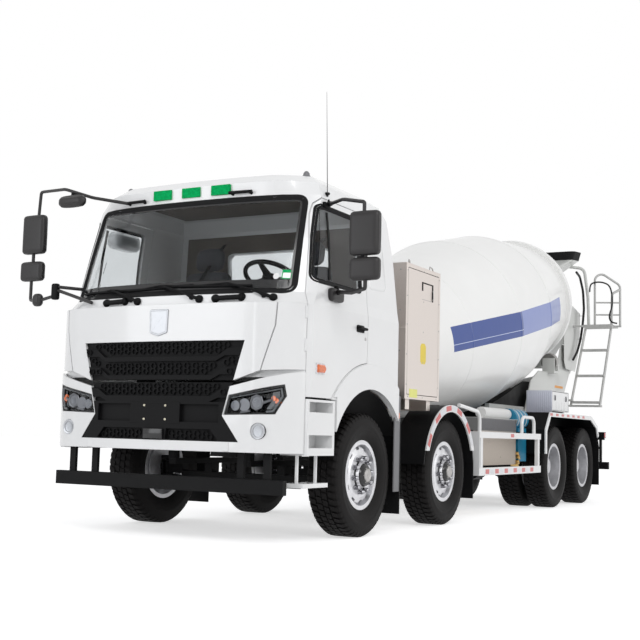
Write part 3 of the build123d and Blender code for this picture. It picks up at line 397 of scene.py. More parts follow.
def tank_paint():
    """Left side: beige box with a ribbed grey top, teal water tank and white air tank. Right side: grey."""
    mat, tree, shader = new_material("tank_paint")
    x, y, z = (along(tree, axis, (0, 0, 0)) for axis in ((1, 0, 0), (0, 1, 0), (0, 0, 1)))

    def above(value, limit):
        return calc(tree, "GREATER_THAN", value, limit)

    left = above(x, 0.0)
    grain = object_noise(tree, 30, detail=5, stretch=(1, 8, 1))
    beige = ramp(tree, grain, [(0.3, (0.40, 0.345, 0.295)), (0.7, (0.50, 0.44, 0.38))])
    color = mix_color(tree, both(tree, left, above(z, BOX_RIBS_LOW)), beige, (0.20, 0.20, 0.20))
    air = both(tree, above(z, 1.1065), above(x, 0.832))
    color = mix_color(tree, air, color, (0.72, 0.72, 0.71))
    raised = both(tree, above(z, 1.111), above(y, 0.790))
    teal = both(tree, left, calc(tree, "MAXIMUM", raised, above(y, BOX_END)))
    color = mix_color(tree, teal, color, (0.006, 0.19, 0.33))
    color = mix_color(tree, left, (0.46, 0.46, 0.46), color)
    bare = both(tree, calc(tree, "LESS_THAN", z, BOX_RIBS_LOW), calc(tree, "LESS_THAN", y, BOX_END))
    feed(tree, shader, {
        "Base Color": color, "Metallic": both(tree, bare, 0.35),
        "Roughness": to_range(tree, grain, 0.38, 0.55)})
    set_normal(tree, shader, object_noise(tree, 6), 0.06, 0.004, 0.005)
    return mat


# look: material, slot
LOOKS = {}


def add_looks(slot, **materials):
    """Looks that share one slot."""
    for look, material in materials.items():
        LOOKS[look] = (material, slot)


add_looks("white_paint",
          white=paint("white_paint", WHITE),
          # the white paint darkened to grey, as painted shade for parts lying in shade under the drum
          pedestal=paint("pedestal_shaded_white", (0.66, 0.67, 0.645), rough=0.32, coat=0.3),
          grey_blue=paint("louvre_grey", (0.64, 0.66, 0.76), rough=0.45, coat=0.2),
          yellow=film("yellow_film", (0.78, 0.60, 0.05)),
          amber_film=film("amber_film", (0.80, 0.33, 0.04)),
          lime=film("lime_film", (0.72, 0.72, 0.20)))
add_looks("drum_paint", drum=drum_paint())
add_looks("chassis_black",
          frame=paint("frame_black", (0.006, 0.006, 0.0065), rough=0.5, coat=0.0, dust=0.2, specular=0.12))
add_looks("cast", cast=metal("cast_paint", (0.20, 0.20, 0.21), rough=0.6, metallic=0.4, strength=0.3))
add_looks("black_plastic",
          black=plastic("black_plastic", (0.005, 0.005, 0.0055), specular=0.12),
          soft_black=plastic("mirror_plastic", (0.016, 0.0145, 0.015), rough=0.42, strength=0.25,
                             specular=0.4),
          gloss_black=plastic("gloss_black", (0.010, 0.010, 0.011), rough=0.16, strength=0.03))
add_looks("interior",
          interior=plastic("interior_trim", (0.10, 0.095, 0.09), rough=0.7, grain=500, strength=0.3),
          lining=plastic("cab_lining", (0.165, 0.140, 0.120), rough=0.85, grain=700, strength=0.4),
          fabric=plastic("seat_cloth", (0.060, 0.062, 0.070), rough=0.95, grain=1400, strength=0.6, edge=0.0))
add_looks("rubber",
          rubber=plastic("flap_rubber", (0.007, 0.007, 0.0075), rough=0.75, grain=300, strength=0.3, edge=0.0,
                         specular=0.2),
          hose=plastic("hose_rubber", (0.006, 0.006, 0.0065), rough=0.5, grain=200, strength=0.2, edge=0.0,
                       specular=0.3))
add_looks("tyre", tyre=tyre_rubber())
add_looks("steel",
          tanks=tank_paint(),
          steel=metal("stainless_sheet", (0.70, 0.64, 0.60), rough=0.34, brushed=(1, 1, 14)),
          box=metal("aluminium_sheet", (0.55, 0.51, 0.47), rough=0.42, brushed=(1, 12, 1)),
          bare=metal("bare_steel", (0.42, 0.41, 0.40), rough=0.4),
          galvanised=metal("grey_ladder", (0.50, 0.50, 0.49), rough=0.5, metallic=0.3),
          zinc=metal("yellow_zinc", (0.70, 0.66, 0.52), rough=0.45, metallic=0.4),
          brass=metal("brass_fittings", (0.62, 0.42, 0.16), rough=0.35))
add_looks("wheel_alloy",
          alloy=metal("wheel_alloy", (0.70, 0.70, 0.72), rough=0.40, metallic=0.75, strength=0.0),
          rim_steel=metal("rear_rim", (0.60, 0.60, 0.62), rough=0.42, metallic=0.7, strength=0.0),
          cap_chrome=metal("cap_chrome", (0.36, 0.36, 0.38), rough=0.16, strength=0.0),
          silver=metal("silver_trim", (0.42, 0.43, 0.45), rough=0.35, strength=0.02))
add_looks("glass",
          glass=glass("tinted_glass", (0.80, 0.82, 0.83), ior=1.18),
          mirror=metal("mirror_glass", (0.75, 0.77, 0.79), rough=0.03, strength=0.0, edge=0.0))
add_looks("marker_green",
          green=lamp_plastic("green_lens", (0.0, 0.42, 0.11), rough=0.5, coat=0.0, specular=0.05))
add_looks("lamp_glass",
          lens=glass("clear_lens", (0.93, 0.94, 0.95), ior=1.12),
          orange=lamp_plastic("orange_lens", (0.85, 0.16, 0.02)),
          red=lamp_plastic("red_lens", (0.55, 0.012, 0.015)),
          white_lens=lamp_plastic("white_lens", (0.80, 0.82, 0.85)),
          guide=lamp_plastic("light_guide", (0.13, 0.14, 0.15), rough=0.3, coat=0.2),
          reflector=metal("lamp_reflector", (0.13, 0.135, 0.145), rough=0.32, strength=0.0),
          tape_red=reflective_tape("red_tape", (0.62, 0.05, 0.045)),
          tape_white=reflective_tape("white_tape", (0.74, 0.76, 0.79)))

NODE_LOOKS = {
    "chassis_frame": "frame", "engine": "cast", "front_axles": "frame", "rear_axles": "frame",
    "cab_shell": "white", "cab_glass": "glass", "cab_interior": "interior", "cab_steps": "white",
    "front_bumper": "white", "headlamps": "lens", "bumper_grille": "black", "flap_grille": "black",
    # the fenders' black is their own colour at the front, and painted shade on the inner faces of the rear
    # fenders
    "service_flap": "white", "roof_lamps": "green", "fenders": "black", "fender_edges": "white",
    "side_guards": "white", "chassis_tanks": "tanks", "steel_cabinet": "steel", "cabinet_door": "steel",
    "tool_box": "white", "tool_box_door": "white", "drum": "drum", "front_pedestal": "white",
    # the rear pedestal, hopper and collector take the white paint darkened as painted shade
    "rear_pedestal": "pedestal", "hopper": "pedestal", "hopper_skirt": "rubber", "collector": "pedestal",
    "chute_swivel": "white", "chute": "white", "ladder": "galvanised", "wash_hose": "rubber",
}
NODE_PREFIX_LOOKS = {
    "rim_3": "rim_steel", "rim_4": "rim_steel", "rim": "alloy", "door_glass": "glass", "door": "white",
    "mirrors": "black", "knuckle": "frame", "tyre": "tyre", "roller": "bare",
}


def dress_nodes():
    """Gives the frame's own nodes their materials."""
    for name, node in nodes.items():
        look = NODE_LOOKS.get(name)
        if look is None:
            look = next(f for p, f in NODE_PREFIX_LOOKS.items() if name.startswith(p))
        node.data.materials.clear()
        node.data.materials.append(LOOKS[look][0])


# ---------------------------------------------------------------- mesh tools

def link_piece(name, mesh, look, body, sharp=35):
    """A mesh as a piece of a body, smooth below an angle in degrees."""
    material, slot = LOOKS[look]
    mesh.materials.clear()
    mesh.materials.append(material)
    for polygon in mesh.polygons:
        polygon.use_smooth = True
    mesh.set_sharp_from_angle(angle=math.radians(sharp))
    piece = bpy.data.objects.new(name, mesh)
    scene.collection.objects.link(piece)
    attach(piece, body)
    return piece


SMALLEST_RADIUS = 1e-5
BEVELLED_ABOVE = math.radians(30)


class Shape:
    """Collects plain forms, then makes one piece of them."""

    def __init__(self):
        self.verts = []
        self.faces = []

    def add(self, verts, faces):
        start = len(self.verts)
        self.verts += [tuple(v) for v in verts]
        self.faces += [tuple(start + i for i in face) for face in faces]

    def cap(self, ring):
        """One face over a closed ring."""
        self.add(ring, [tuple(range(len(ring)))])

    def box(self, low, high):
        verts = [(x, y, z) for x in (low[0], high[0]) for y in (low[1], high[1]) for z in (low[2], high[2])]
        self.add(verts, [(0, 1, 3, 2), (4, 6, 7, 5), (0, 4, 5, 1), (2, 3, 7, 6), (0, 2, 6, 4), (1, 5, 7, 3)])

    def loft(self, rings, ends=True, closed=False):
        """Joins rings of equal count, each a closed list of points. Closed joins the last to the first."""
        count = len(rings[0])
        start = len(self.verts)
        for ring in rings:
            self.verts += [tuple(p) for p in ring]
        pairs = [(i, i + 1) for i in range(len(rings) - 1)]
        if closed:
            pairs.append((len(rings) - 1, 0))
        for i, j in pairs:
            a, b = start + i * count, start + j * count
            for k in range(count):
                n = (k + 1) % count
                self.faces.append((a + k, a + n, b + n, b + k))
        if ends and not closed:
            self.faces.append(tuple(start + k for k in reversed(range(count))))
            self.faces.append(tuple(start + (len(rings) - 1) * count + k for k in range(count)))

    def lathe(self, profile, origin, axis, segments=32, closed=False):
        """Turns (distance along the axis, radius) about an axis."""
        axis = Vector(axis).normalized()
        across = axis.orthogonal().normalized()
        other = axis.cross(across)
        origin = Vector(origin)
        turns = [2 * math.pi * i / segments for i in range(segments)]
        rings = [[origin + axis * d + (across * math.cos(t) + other * math.sin(t)) * max(r, SMALLEST_RADIUS)
                  for t in turns] for d, r in profile]
        self.loft(rings, closed=closed)

    def rod(self, a, b, radius, segments=12):
        a, b = Vector(a), Vector(b)
        self.lathe([(0, radius), ((b - a).length, radius)], a, b - a, segments)

    def mesh(self, name, bevel=0.0, segments=2):
        mesh = bpy.data.meshes.new(name)
        mesh.from_pydata(self.verts, [], self.faces)
        mesh.validate()
        work = bmesh.new()
        work.from_mesh(mesh)
        bmesh.ops.recalc_face_normals(work, faces=work.faces)
        if bevel:
            edges = [e for e in work.edges if e.is_manifold and e.calc_face_angle() > BEVELLED_ABOVE]
            bmesh.ops.bevel(work, geom=edges, offset=bevel, segments=segments, affect="EDGES", profile=0.5,
                            clamp_overlap=True)
        work.to_mesh(mesh)
        work.free()
        return mesh

    def make(self, name, look, body, bevel=0.0, sharp=35, segments=2):
        return link_piece(name, self.mesh(name, bevel, segments), look, body, sharp)


PIPE_STEPS = 5


def round_curve(name, route, radius, resolution, bevel_resolution):
    """A smooth curve of round section near some points, that starts and ends on them."""
    curve = bpy.data.curves.new(name, "CURVE")
    curve.dimensions = "3D"
    spline = curve.splines.new("NURBS")
    spline.points.add(len(route) - 1)
    for point, place in zip(spline.points, route):
        point.co = (*place, 1)
    spline.order_u = 3
    spline.use_endpoint_u = True
    spline.resolution_u = resolution
    curve.bevel_depth = radius
    curve.bevel_resolution = bevel_resolution
    curve.use_fill_caps = True
    return curve


def pipe(name, points, radius, look, body, bend=None):
    """A rigid bent tube: straight runs with tight corners."""
    points = [Vector(p) for p in points]
    route = [points[0]]
    for before, corner, after in zip(points, points[1:], points[2:]):
        reach = min(bend or radius * 3, (corner - before).length * 0.45, (after - corner).length * 0.45)
        route += [corner + (before - corner).normalized() * reach, corner,
                  corner + (after - corner).normalized() * reach]
    route.append(points[-1])
    holder = bpy.data.objects.new(name + "_path", round_curve(name, route, radius, PIPE_STEPS, 2))
    mesh = bpy.data.meshes.new_from_object(holder)
    bpy.data.objects.remove(holder)
    return link_piece(name, mesh, look, body, 60)


def rounded(points, radius, steps=5):
    """A closed outline with its corners rounded."""
    out = []
    count = len(points)
    for i in range(count):
        before, corner, after = (Vector(points[(i + k) % count]) for k in (-1, 0, 1))
        to_before = (before - corner).normalized()
        to_after = (after - corner).normalized()
        half = math.acos(max(-1, min(1, to_before.dot(to_after)))) / 2
        reach = min(radius / math.tan(half), (before - corner).length * 0.48, (after - corner).length * 0.48)
        start, end = corner + to_before * reach, corner + to_after * reach
        for k in range(steps + 1):
            t = k / steps
            out.append(start * (1 - t) ** 2 + corner * 2 * t * (1 - t) + end * t ** 2)
    return out


def spread(loop, step):
    """The same closed outline with long runs divided."""
    out = []
    for a, b in zip(loop, loop[1:] + loop[:1]):
        count = max(1, round((b - a).length / step))
        out += [a.lerp(b, k / count) for k in range(count)]
    return out


def offset(loop, distance):
    """A closed outline moved in by a distance, or out if it is negative."""
    area = sum(a.x * b.y - b.x * a.y for a, b in zip(loop, loop[1:] + loop[:1]))
    turn = 1 if area > 0 else -1
    out = []
    for i, point in enumerate(loop):
        direction = loop[(i + 1) % len(loop)] - loop[i - 1]
        direction.normalize()
        out.append(point + Vector((-direction.y, direction.x)) * turn * distance)
    return out


# view: where a ray at (u, v) starts, and the way it goes
VIEWS = {
    "front": (lambda u, v: Vector((u, -7, v)), Vector((0, 1, 0))),
    "left": (lambda u, v: Vector((3, u, v)), Vector((-1, 0, 0))),
    "right": (lambda u, v: Vector((-3, u, v)), Vector((1, 0, 0))),
    "top": (lambda u, v: Vector((u, v, 6)), Vector((0, 0, -1))),
}


class Skin:
    """The surface of some CAD nodes, to lay pieces on."""

    def __init__(self, *names):
        verts, faces = [], []
        for name in names:
            mesh = nodes[name].data
            start = len(verts)
            verts += [v.co.copy() for v in mesh.vertices]
            faces += [[start + i for i in p.vertices] for p in mesh.polygons]
        self.tree = BVHTree.FromPolygons(verts, faces)

    def lay(self, view, u, v, lift=0.0):
        start, direction = VIEWS[view]
        place = self.tree.ray_cast(start(u, v), direction)[0]
        if place is None:
            raise ValueError(f"no surface at {u:.3f}, {v:.3f} from the {view}")
        return place - direction * lift

    def loop(self, view, outline, lift=0.0):
        return [self.lay(view, p[0], p[1], lift) for p in outline]


def moulding(name, view, outline, spans, look, body):
    """A strip laid along a closed outline. Each span across it is (skin, offset inwards, lift)."""
    shape = Shape()
    shape.loft([skin.loop(view, offset(outline, inward), lift) for skin, inward, lift in spans], ends=False)
    return shape.make(name, look, body, sharp=50)


def plate_on(shape, skin, view, outline, lift, depth):
    """A thin plate of an outline laid on a skin, standing proud by lift, with its rim going back by depth."""
    top = skin.loop(view, outline, lift)
    direction = VIEWS[view][1]
    shape.loft([top, [p + direction * depth for p in top]], ends=False)
    shape.cap(top)


def rivets(shape, skin, view, places, radius, height):
    """Domed rivet heads."""
    direction = VIEWS[view][1]
    for u, v in places:
        base = skin.lay(view, u, v, -0.001)
        shape.lathe([(0, radius), (height * 0.6, radius * 0.85), (height, radius * 0.4), (height, 0)], base,
                    -direction, 10)


# ---------------------------------------------------------------- tyres and wheels

# carcass of a tyre: distance from its middle plane, radius
TYRE_PROFILE = [
    (0.103, 0.276), (0.109, 0.286), (0.112, 0.300), (0.119, 0.312), (0.131, 0.335), (0.141, 0.360),
    (0.1455, 0.380), (0.1485, 0.400), (0.1485, 0.403), (0.1500, 0.406), (0.1500, 0.436), (0.1485, 0.440),
    (0.1470, 0.452), (0.1425, 0.478), (0.1360, 0.497), (0.1270, 0.510), (0.1130, 0.516), (0.060, 0.518),
    (0.0, 0.518),
]
# tread blocks, one row each side of the middle plane: section (distance, radius), share of the pitch, stagger
TREAD_ROWS = [
    ([(0.0045, 0.512), (0.0045, 0.5300), (0.0500, 0.5298), (0.0500, 0.512)], 0.80, 0.0),
    ([(0.0610, 0.510), (0.0610, 0.5297), (0.1090, 0.5285), (0.1320, 0.5120), (0.1420, 0.4860),
      (0.1380, 0.4820)], 0.66, 0.5),
]
TREAD_PITCHES = 52


def tyre_mesh():
    shape = Shape()
    profile = TYRE_PROFILE + [(-x, r) for x, r in reversed(TYRE_PROFILE[:-1])]
    shape.lathe(profile + [(-0.095, 0.2765), (0.095, 0.2765)], (0, 0, 0), (1, 0, 0), 96, closed=True)
    pitch = 2 * math.pi / TREAD_PITCHES
    for number in range(TREAD_PITCHES):
        for section, share, stagger in TREAD_ROWS:
            for sign in (1, -1):
                middle = (number + stagger + (0.25 if sign < 0 else 0)) * pitch
                half = pitch * share / 2
                rings = []
                for step in (-1, 0, 1):
                    # the block's sides lean along the tread
                    turns = [middle + step * half + sign * (x - 0.06) * 0.55 for x, _ in section]
                    rings.append([(sign * x, r * math.cos(t), r * math.sin(t))
                                  for (x, r), t in zip(section, turns)])
                shape.loft(rings)
    return shape.mesh("tyre")


TWIN_REACH = 0.150
NUT_COUNT = 10


def add_tyres():
    """One tread mesh, turned at random, in place of every tyre of the frame."""
    mesh = tyre_mesh()
    for number, y in enumerate(AXLE_Y, 1):
        for side, sign in SIDES:
            node = f"tyre_{number}_{side}"
            low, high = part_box(node)
            reach = sorted((abs(low.x), abs(high.x)))
            places = [("single", (reach[0] + reach[1]) / 2)]
            if number > 2:
                places = [("outer", reach[1] - TWIN_REACH), ("inner", reach[0] + TWIN_REACH)]
            for part, x in places:
                placed = mesh.copy()
                turn = Matrix.Rotation(random.uniform(0, 6.28), 4, "X")
                placed.transform(Matrix.Translation((sign * x, y, AXLE_Z)) @ turn)
                piece = link_piece(f"{node}_{part}", placed, "tyre", f"wheel_{number}_{side}", 28)
                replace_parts(piece, node)
    bpy.data.meshes.remove(mesh)


def around(centre, radius, angle):
    """A point on a circle about a wheel's axis, its angle in degrees."""
    angle = math.radians(angle)
    return centre + Vector((0, math.cos(angle), math.sin(angle))) * radius


def wheel_sides(numbers):
    """Number, side, centre and outward axis of the wheels of some axles."""
    for number in numbers:
        for side, sign in SIDES:
            yield number, side, Vector((0, AXLE_Y[number - 1], AXLE_Z)), Vector((sign, 0, 0))


# turned profiles of (distance from the truck's middle, radius)
NUT_COLLAR = [(1.128, 0.0260), (1.134, 0.0260), (1.136, 0.0230), (1.158, 0.0230)]
NUT_CAP = [(1.150, 0.0215), (1.188, 0.0205), (1.200, 0.0165), (1.206, 0.008), (1.207, 0)]
HUB_SLEEVE = [(1.145, 0.1225), (1.1535, 0.1215), (1.170, 0.1060), (1.201, 0.0925), (1.206, 0.086),
              (1.2165, 0.0735), (1.2165, 0.060)]
HUB_CAP = [(1.214, 0.060), (1.224, 0.058), (1.231, 0.050), (1.234, 0.030), (1.232, 0.026), (1.232, 0)]
HUB_SCREW = [(1.210, 0.006), (1.222, 0.006)]
REAR_NUT = [(0.874, 0.021), (0.900, 0.021), (0.903, 0.013), (0.925, 0.012)]
AXLE_SCREW = [(1.040, 0.009), (1.058, 0.009)]


def add_front_wheel_trim():
    """Studs with domed caps, the black hub sleeve and its grey cap."""
    for number, side, centre, axis in wheel_sides((1, 2)):
        body = f"wheel_{number}_{side}"
        caps, collars, sleeve, cap = Shape(), Shape(), Shape(), Shape()
        for i in range(NUT_COUNT):
            place = around(centre, 0.1450, 36 * i + 9)
            collars.lathe(NUT_COLLAR, place, axis, 6)
            caps.lathe(NUT_CAP, place, axis, 14)
        collars.make(f"nuts_{number}_{side}", "gloss_black", body, sharp=30)
        caps.make(f"nut_caps_{number}_{side}", "cap_chrome", body, sharp=50)
        sleeve.lathe(HUB_SLEEVE, centre, axis, 48)
        sleeve.make(f"hub_sleeve_{number}_{side}", "gloss_black", body, sharp=25)
        cap.lathe(HUB_CAP, centre, axis, 40)
        for i in range(6):
            cap.lathe(HUB_SCREW, around(centre, 0.066, 60 * i), axis, 6)
        cap.make(f"hub_cap_{number}_{side}", "bare", body, sharp=30)


def add_rear_wheel_trim():
    """Nuts of the twin wheels and screws of the axle's flange."""
    for number, side, centre, axis in wheel_sides((3, 4)):
        nuts = Shape()
        for i in range(NUT_COUNT):
            nuts.lathe(REAR_NUT, around(centre, 0.153, 36 * i), axis, 6)
        for i in range(12):
            nuts.lathe(AXLE_SCREW, around(centre, 0.098, 30 * i), axis, 6)
        nuts.make(f"wheel_nuts_{number}_{side}", "bare", f"wheel_{number}_{side}", sharp=30)


# ---------------------------------------------------------------- front of the cab

LAMP = [(0.640, 1.000), (0.682, 1.155), (1.118, 1.245), (1.131, 1.155), (1.064, 1.012)]
FLAP_GRILLE = [(-0.800, 1.585), (0.800, 1.585), (0.712, 1.272), (-0.712, 1.272)]
BUMPER_GRILLE = [(-0.633, 1.100), (-0.700, 1.255), (0.700, 1.255), (0.633, 1.100)]
LOW_INTAKE = [(-0.600, 0.800), (-0.530, 0.885), (0.530, 0.885), (0.600, 0.800)]


def flipped(outline, sign):
    """An outline, mirrored for the right side, that still goes round the same way."""
    points = [(sign * u, v) for u, v in outline]
    return points if sign > 0 else list(reversed(points))


def add_headlamps(skin):
    """Dished housing with reflectors, projector and light guides behind a clear cover."""
    for side, sign in SIDES:
        outline = rounded(flipped(LAMP, sign), 0.014, 3)
        # inwards, lift: rim, lip and floor of the bowl
        rings = [skin.loop("front", offset(outline, inward), lift)
                 for inward, lift in ((0.003, -0.002), (0.016, -0.006), (0.030, -0.050))]
        bowl = Shape()
        bowl.loft(rings, ends=False)
        bowl.cap(rings[-1])
        housing = bowl.make(f"lamp_housing_{side}", "gloss_black", "root", sharp=30)
        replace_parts(housing, "headlamps")
        cover = Shape()
        front = skin.loop("front", offset(outline, 0.004), -0.001)
        cover.loft([front, [p + BACK * 0.003 for p in front]])
        cover = cover.make(f"lamp_cover_{side}", "lens", "root", sharp=30)
        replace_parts(cover, "headlamps")

        def spot(x, z, depth):
            # places are spread over the lamp from its inner edge
            return skin.lay("front", sign * (x if x < 0.85 else 0.85 + (x - 0.85) * 0.80), z, -depth)

        chrome, guides, amber = Shape(), Shape(), Shape()
        # bowl reflectors by the grille
        for x, z, radius, depth in ((0.735, 1.075, 0.040, 0.026), (0.812, 1.080, 0.052, 0.030)):
            chrome.lathe([(0, radius), (depth * 0.45, radius * 0.86), (depth * 0.8, radius * 0.55),
                          (depth, 0.012), (depth - 0.008, 0.010), (depth - 0.010, 0)],
                         spot(x, z, 0.012), BACK, 20)
        # projector with its eight-sided ring
        place = spot(0.930, 1.102, 0.012)
        chrome.lathe([(0.004, 0.066), (-0.002, 0.060), (0.002, 0.046), (0.020, 0.040), (0.030, 0.034)],
                     place, BACK, 8)
        lens = Shape()
        lens.lathe([(0.026, 0.037), (0.012, 0.036), (0.004, 0.027), (0.001, 0.014), (0, 0)], place, BACK, 28)
        lens.make(f"lamp_projector_{side}", "lens", "root", sharp=60)
        # bright bars from the projector
        chrome.rod(spot(0.992, 1.098, 0.014), spot(1.066, 1.122, 0.020), 0.012, 8)
        chrome.rod(spot(0.868, 1.036, 0.014), spot(0.780, 1.022, 0.020), 0.010, 8)
        for t in range(3):
            amber.lathe([(0, 0.021), (0.010, 0.018), (0.014, 0)],
                        spot(1.085 + 0.024 * t, 1.135 - 0.018 * t, 0.022), BACK, 16)
        # light guides along the outer edge and the top
        line = [(1.150, 1.216), (1.162, 1.150), (1.090, 1.036), (1.030, 1.030)]
        for a, b in zip(line, line[1:]):
            guides.rod(spot(*a, 0.012), spot(*b, 0.012), 0.009, 8)
        guides.rod(spot(0.700, 1.136, 0.014), spot(1.140, 1.208, 0.014), 0.006, 8)
        pane = ((1.020, 1.050, 0.030), (1.080, 1.050, 0.034), (1.135, 1.140, 0.034), (1.130, 1.190, 0.030),
                (1.075, 1.180, 0.028), (1.070, 1.110, 0.020))
        guides.cap([spot(*p) for p in pane])
        chrome.make(f"lamp_reflectors_{side}", "reflector", "root", sharp=30)
        amber.make(f"lamp_indicator_{side}", "orange", "root", sharp=50)
        guides.make(f"lamp_guides_{side}", "guide", "root", sharp=50)


# name, look, sharp angle, segments and profile of (distance forwards, radius)
FOG_LAMP_PARTS = (
    ("surround", "silver", 30, 40,
     [(0.000, 0.0625), (0.006, 0.0625), (0.008, 0.060), (0.004, 0.046), (-0.020, 0.042)]),
    ("reflector", "reflector", 40, 32,
     [(-0.002, 0.043), (-0.012, 0.040), (-0.026, 0.026), (-0.030, 0.008), (-0.020, 0.007), (-0.018, 0)]),
    ("lens", "lens", 60, 36,
     [(-0.004, 0.0425), (0.001, 0.040), (0.006, 0.026), (0.0075, 0.010), (0.0078, 0)]),
)


def add_fog_lamps():
    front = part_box("front_bumper")[0].y
    for side, sign in SIDES:
        for part, look, sharp, segments, profile in FOG_LAMP_PARTS:
            shape = Shape()
            shape.lathe(profile, (sign * 0.942, front + 0.070, 0.880), -BACK, segments)
            shape.make(f"fog_{part}_{side}", look, "root", sharp=sharp)


def in_outline(outline, x, z):
    """Whether a point lies inside a closed outline."""
    inside = False
    for (x0, z0), (x1, z1) in zip(outline, outline[1:] + outline[:1]):
        if (z0 > z) != (z1 > z) and x < (x1 - x0) * (z - z0) / (z1 - z0) + x0:
            inside = not inside
    return inside


CELL_RADIUS, CELL_WALL, CELL_DEPTH = 0.0270, 0.0052, 0.014
CELL_STEP = CELL_RADIUS * math.sqrt(3)
GRILLE_REACH = 0.86
GRILLE_LOW, GRILLE_HIGH = 0.78, 1.62


def add_honeycomb(name, skin, outline, body):
    """Hexagon mesh standing on the grille's back panel, where the panel is flat."""
    shape = Shape()
    column = 0
    x = -GRILLE_REACH
    while x < GRILLE_REACH:
        z = GRILLE_LOW + (CELL_STEP / 2 if column % 2 else 0.0)
        while z < GRILLE_HIGH:
            corners = [(x + CELL_RADIUS * math.cos(t), z + CELL_RADIUS * math.sin(t))
                       for t in (math.radians(60 * k) for k in range(6))]
            if all(in_outline(outline, u, v) for u, v in corners):
                y = skin.lay("front", x, z).y
                if all(abs(skin.lay("front", u, v).y - y) <= 0.012 for u, v in corners):
                    share = 1 - CELL_WALL / CELL_RADIUS
                    inner = [(x + (u - x) * share, z + (v - z) * share) for u, v in corners]
                    shape.loft([[Vector((u, y - CELL_DEPTH, v)) for u, v in corners],
                                [Vector((u, y - CELL_DEPTH, v)) for u, v in inner],
                                [Vector((u, y, v)) for u, v in inner]], ends=False)
            z += CELL_STEP
        x += CELL_RADIUS * 1.5
        column += 1
    return shape.make(name, "black", body, sharp=20)


def add_front_trim():
    flap = Skin("service_flap")
    # bare shield in the middle of the flap
    shield = rounded([(-0.095, 1.846), (0.095, 1.846), (0.088, 1.652), (0, 1.626), (-0.088, 1.652)], 0.018, 4)
    shape = Shape()
    # inwards, lift: foot, top of the rim, and floor of the dish
    rings = [flap.loop("front", offset(shield, inward), lift)
             for inward, lift in ((0, 0.0), (0.004, 0.010), (0.012, 0.010), (0.016, 0.007))]
    shape.loft(rings, ends=False)
    shape.cap(rings[-1])
    shape.make("flap_shield", "silver", "service_flap", sharp=30)
    # bolts and screws of the plate bracket
    bolts = Shape()
    plate = Skin("bumper_grille")
    for x in (-0.105, 0.105):
        for z in (0.957, 1.067):
            base = plate.lay("front", x + 0.008, z + 0.002, -0.001)
            base.x, base.z = x, z
            bolts.lathe([(0, 0.0100), (0.003, 0.0100), (0.004, 0.008), (0.008, 0.007), (0.010, 0.004),
                         (0.010, 0)], base, -BACK, 14)
    bolts.make("plate_bolts", "zinc", "root", sharp=40)
    # plain block in the middle of the low intake
    middle = plate.lay("front", 0.040, 0.842)
    block = Shape()
    block.box((-0.095, middle.y - 0.020, 0.802), (0.095, middle.y + 0.010, 0.882))
    block.make("intake_block", "gloss_black", "root", bevel=0.006)


# ---------------------------------------------------------------- cab glazing, wipers, roof

WINDSCREEN = rounded([(-1.090, 1.985), (1.090, 1.985), (1.045, 2.795), (-1.045, 2.795)], 0.070, 8)
DOOR_WINDOW = [(-4.714, 2.085), (-3.900, 2.085), (-3.900, 2.730), (-4.556, 2.730), (-4.636, 2.450)]


def add_glazing_trim():
    shell, pane = Skin("cab_shell"), Skin("cab_glass")
    outline = spread(WINDSCREEN, 0.12)
    moulding("windscreen_seal", "front", outline,
             [(shell, -0.022, -0.001), (shell, -0.020, 0.004), (shell, -0.012, 0.006), (shell, -0.003, 0.005),
              (pane, 0.010, 0.010), (pane, 0.018, 0.003), (pane, 0.026, 0.001)], "rubber", "root")
    # printed border of the glass
    moulding("windscreen_border", "front", outline, [(pane, 0.024, 0.0012), (pane, 0.040, 0.0012)],
             "gloss_black", "root")
    shape = Shape()
    count = 24
    places = [pane.lay("front", -1.035 + 0.09 * i, z, 0.0012) for z in (2.010, 2.080) for i in range(count)]
    shape.add(places, [(i, i + 1, count + i + 1, count + i) for i in range(count - 1)])
    shape.make("windscreen_lower_border", "gloss_black", "root")
    # blank stickers low in the left corner
    paper, border = Shape(), Shape()
    edge = [(0.985, 2.088), (1.052, 2.088), (1.050, 2.165), (0.985, 2.165)]
    sheet = [(0.992, 2.096), (1.045, 2.096), (1.043, 2.140), (0.992, 2.140)]
    disc = [(0.948 + 0.022 * math.cos(t), 2.110 + 0.026 * math.sin(t))
            for t in (math.radians(15 * k) for k in range(24))]
    for shape, outline, lift in ((border, edge, 0.0012), (paper, sheet, 0.0020), (paper, disc, 0.0020)):
        plate_on(shape, pane, "front", outline, lift, 0.0008)
    border.make("screen_sticker_border", "green", "root")
    paper.make("screen_stickers", "white", "root")
    for side, sign in SIDES:
        door, glass_skin = Skin(f"door_{side}"), Skin(f"door_glass_{side}")
        body = f"door_{side}"
        outline = spread(rounded(DOOR_WINDOW, 0.050, 5), 0.12)
        moulding(f"door_seal_{side}", side, outline,
                 [(door, -0.016, -0.001), (door, -0.014, 0.004), (door, -0.003, 0.004),
                  (glass_skin, 0.008, 0.009), (glass_skin, 0.016, 0.002), (glass_skin, 0.026, 0.001)],
                 "rubber", body)
        bar = Shape()
        out = Vector((sign * 0.008, 0, 0))
        rings = []
        for k in range(7):
            y, z = -4.425 - 0.025 * k / 6, 2.690 - 0.570 * k / 6
            a, b = glass_skin.lay(side, y - 0.015, z), glass_skin.lay(side, y + 0.015, z)
            rings.append([a, b, b + out, a + out])
        bar.loft(rings)
        bar.make(f"door_divider_{side}", "rubber", body, bevel=0.002)


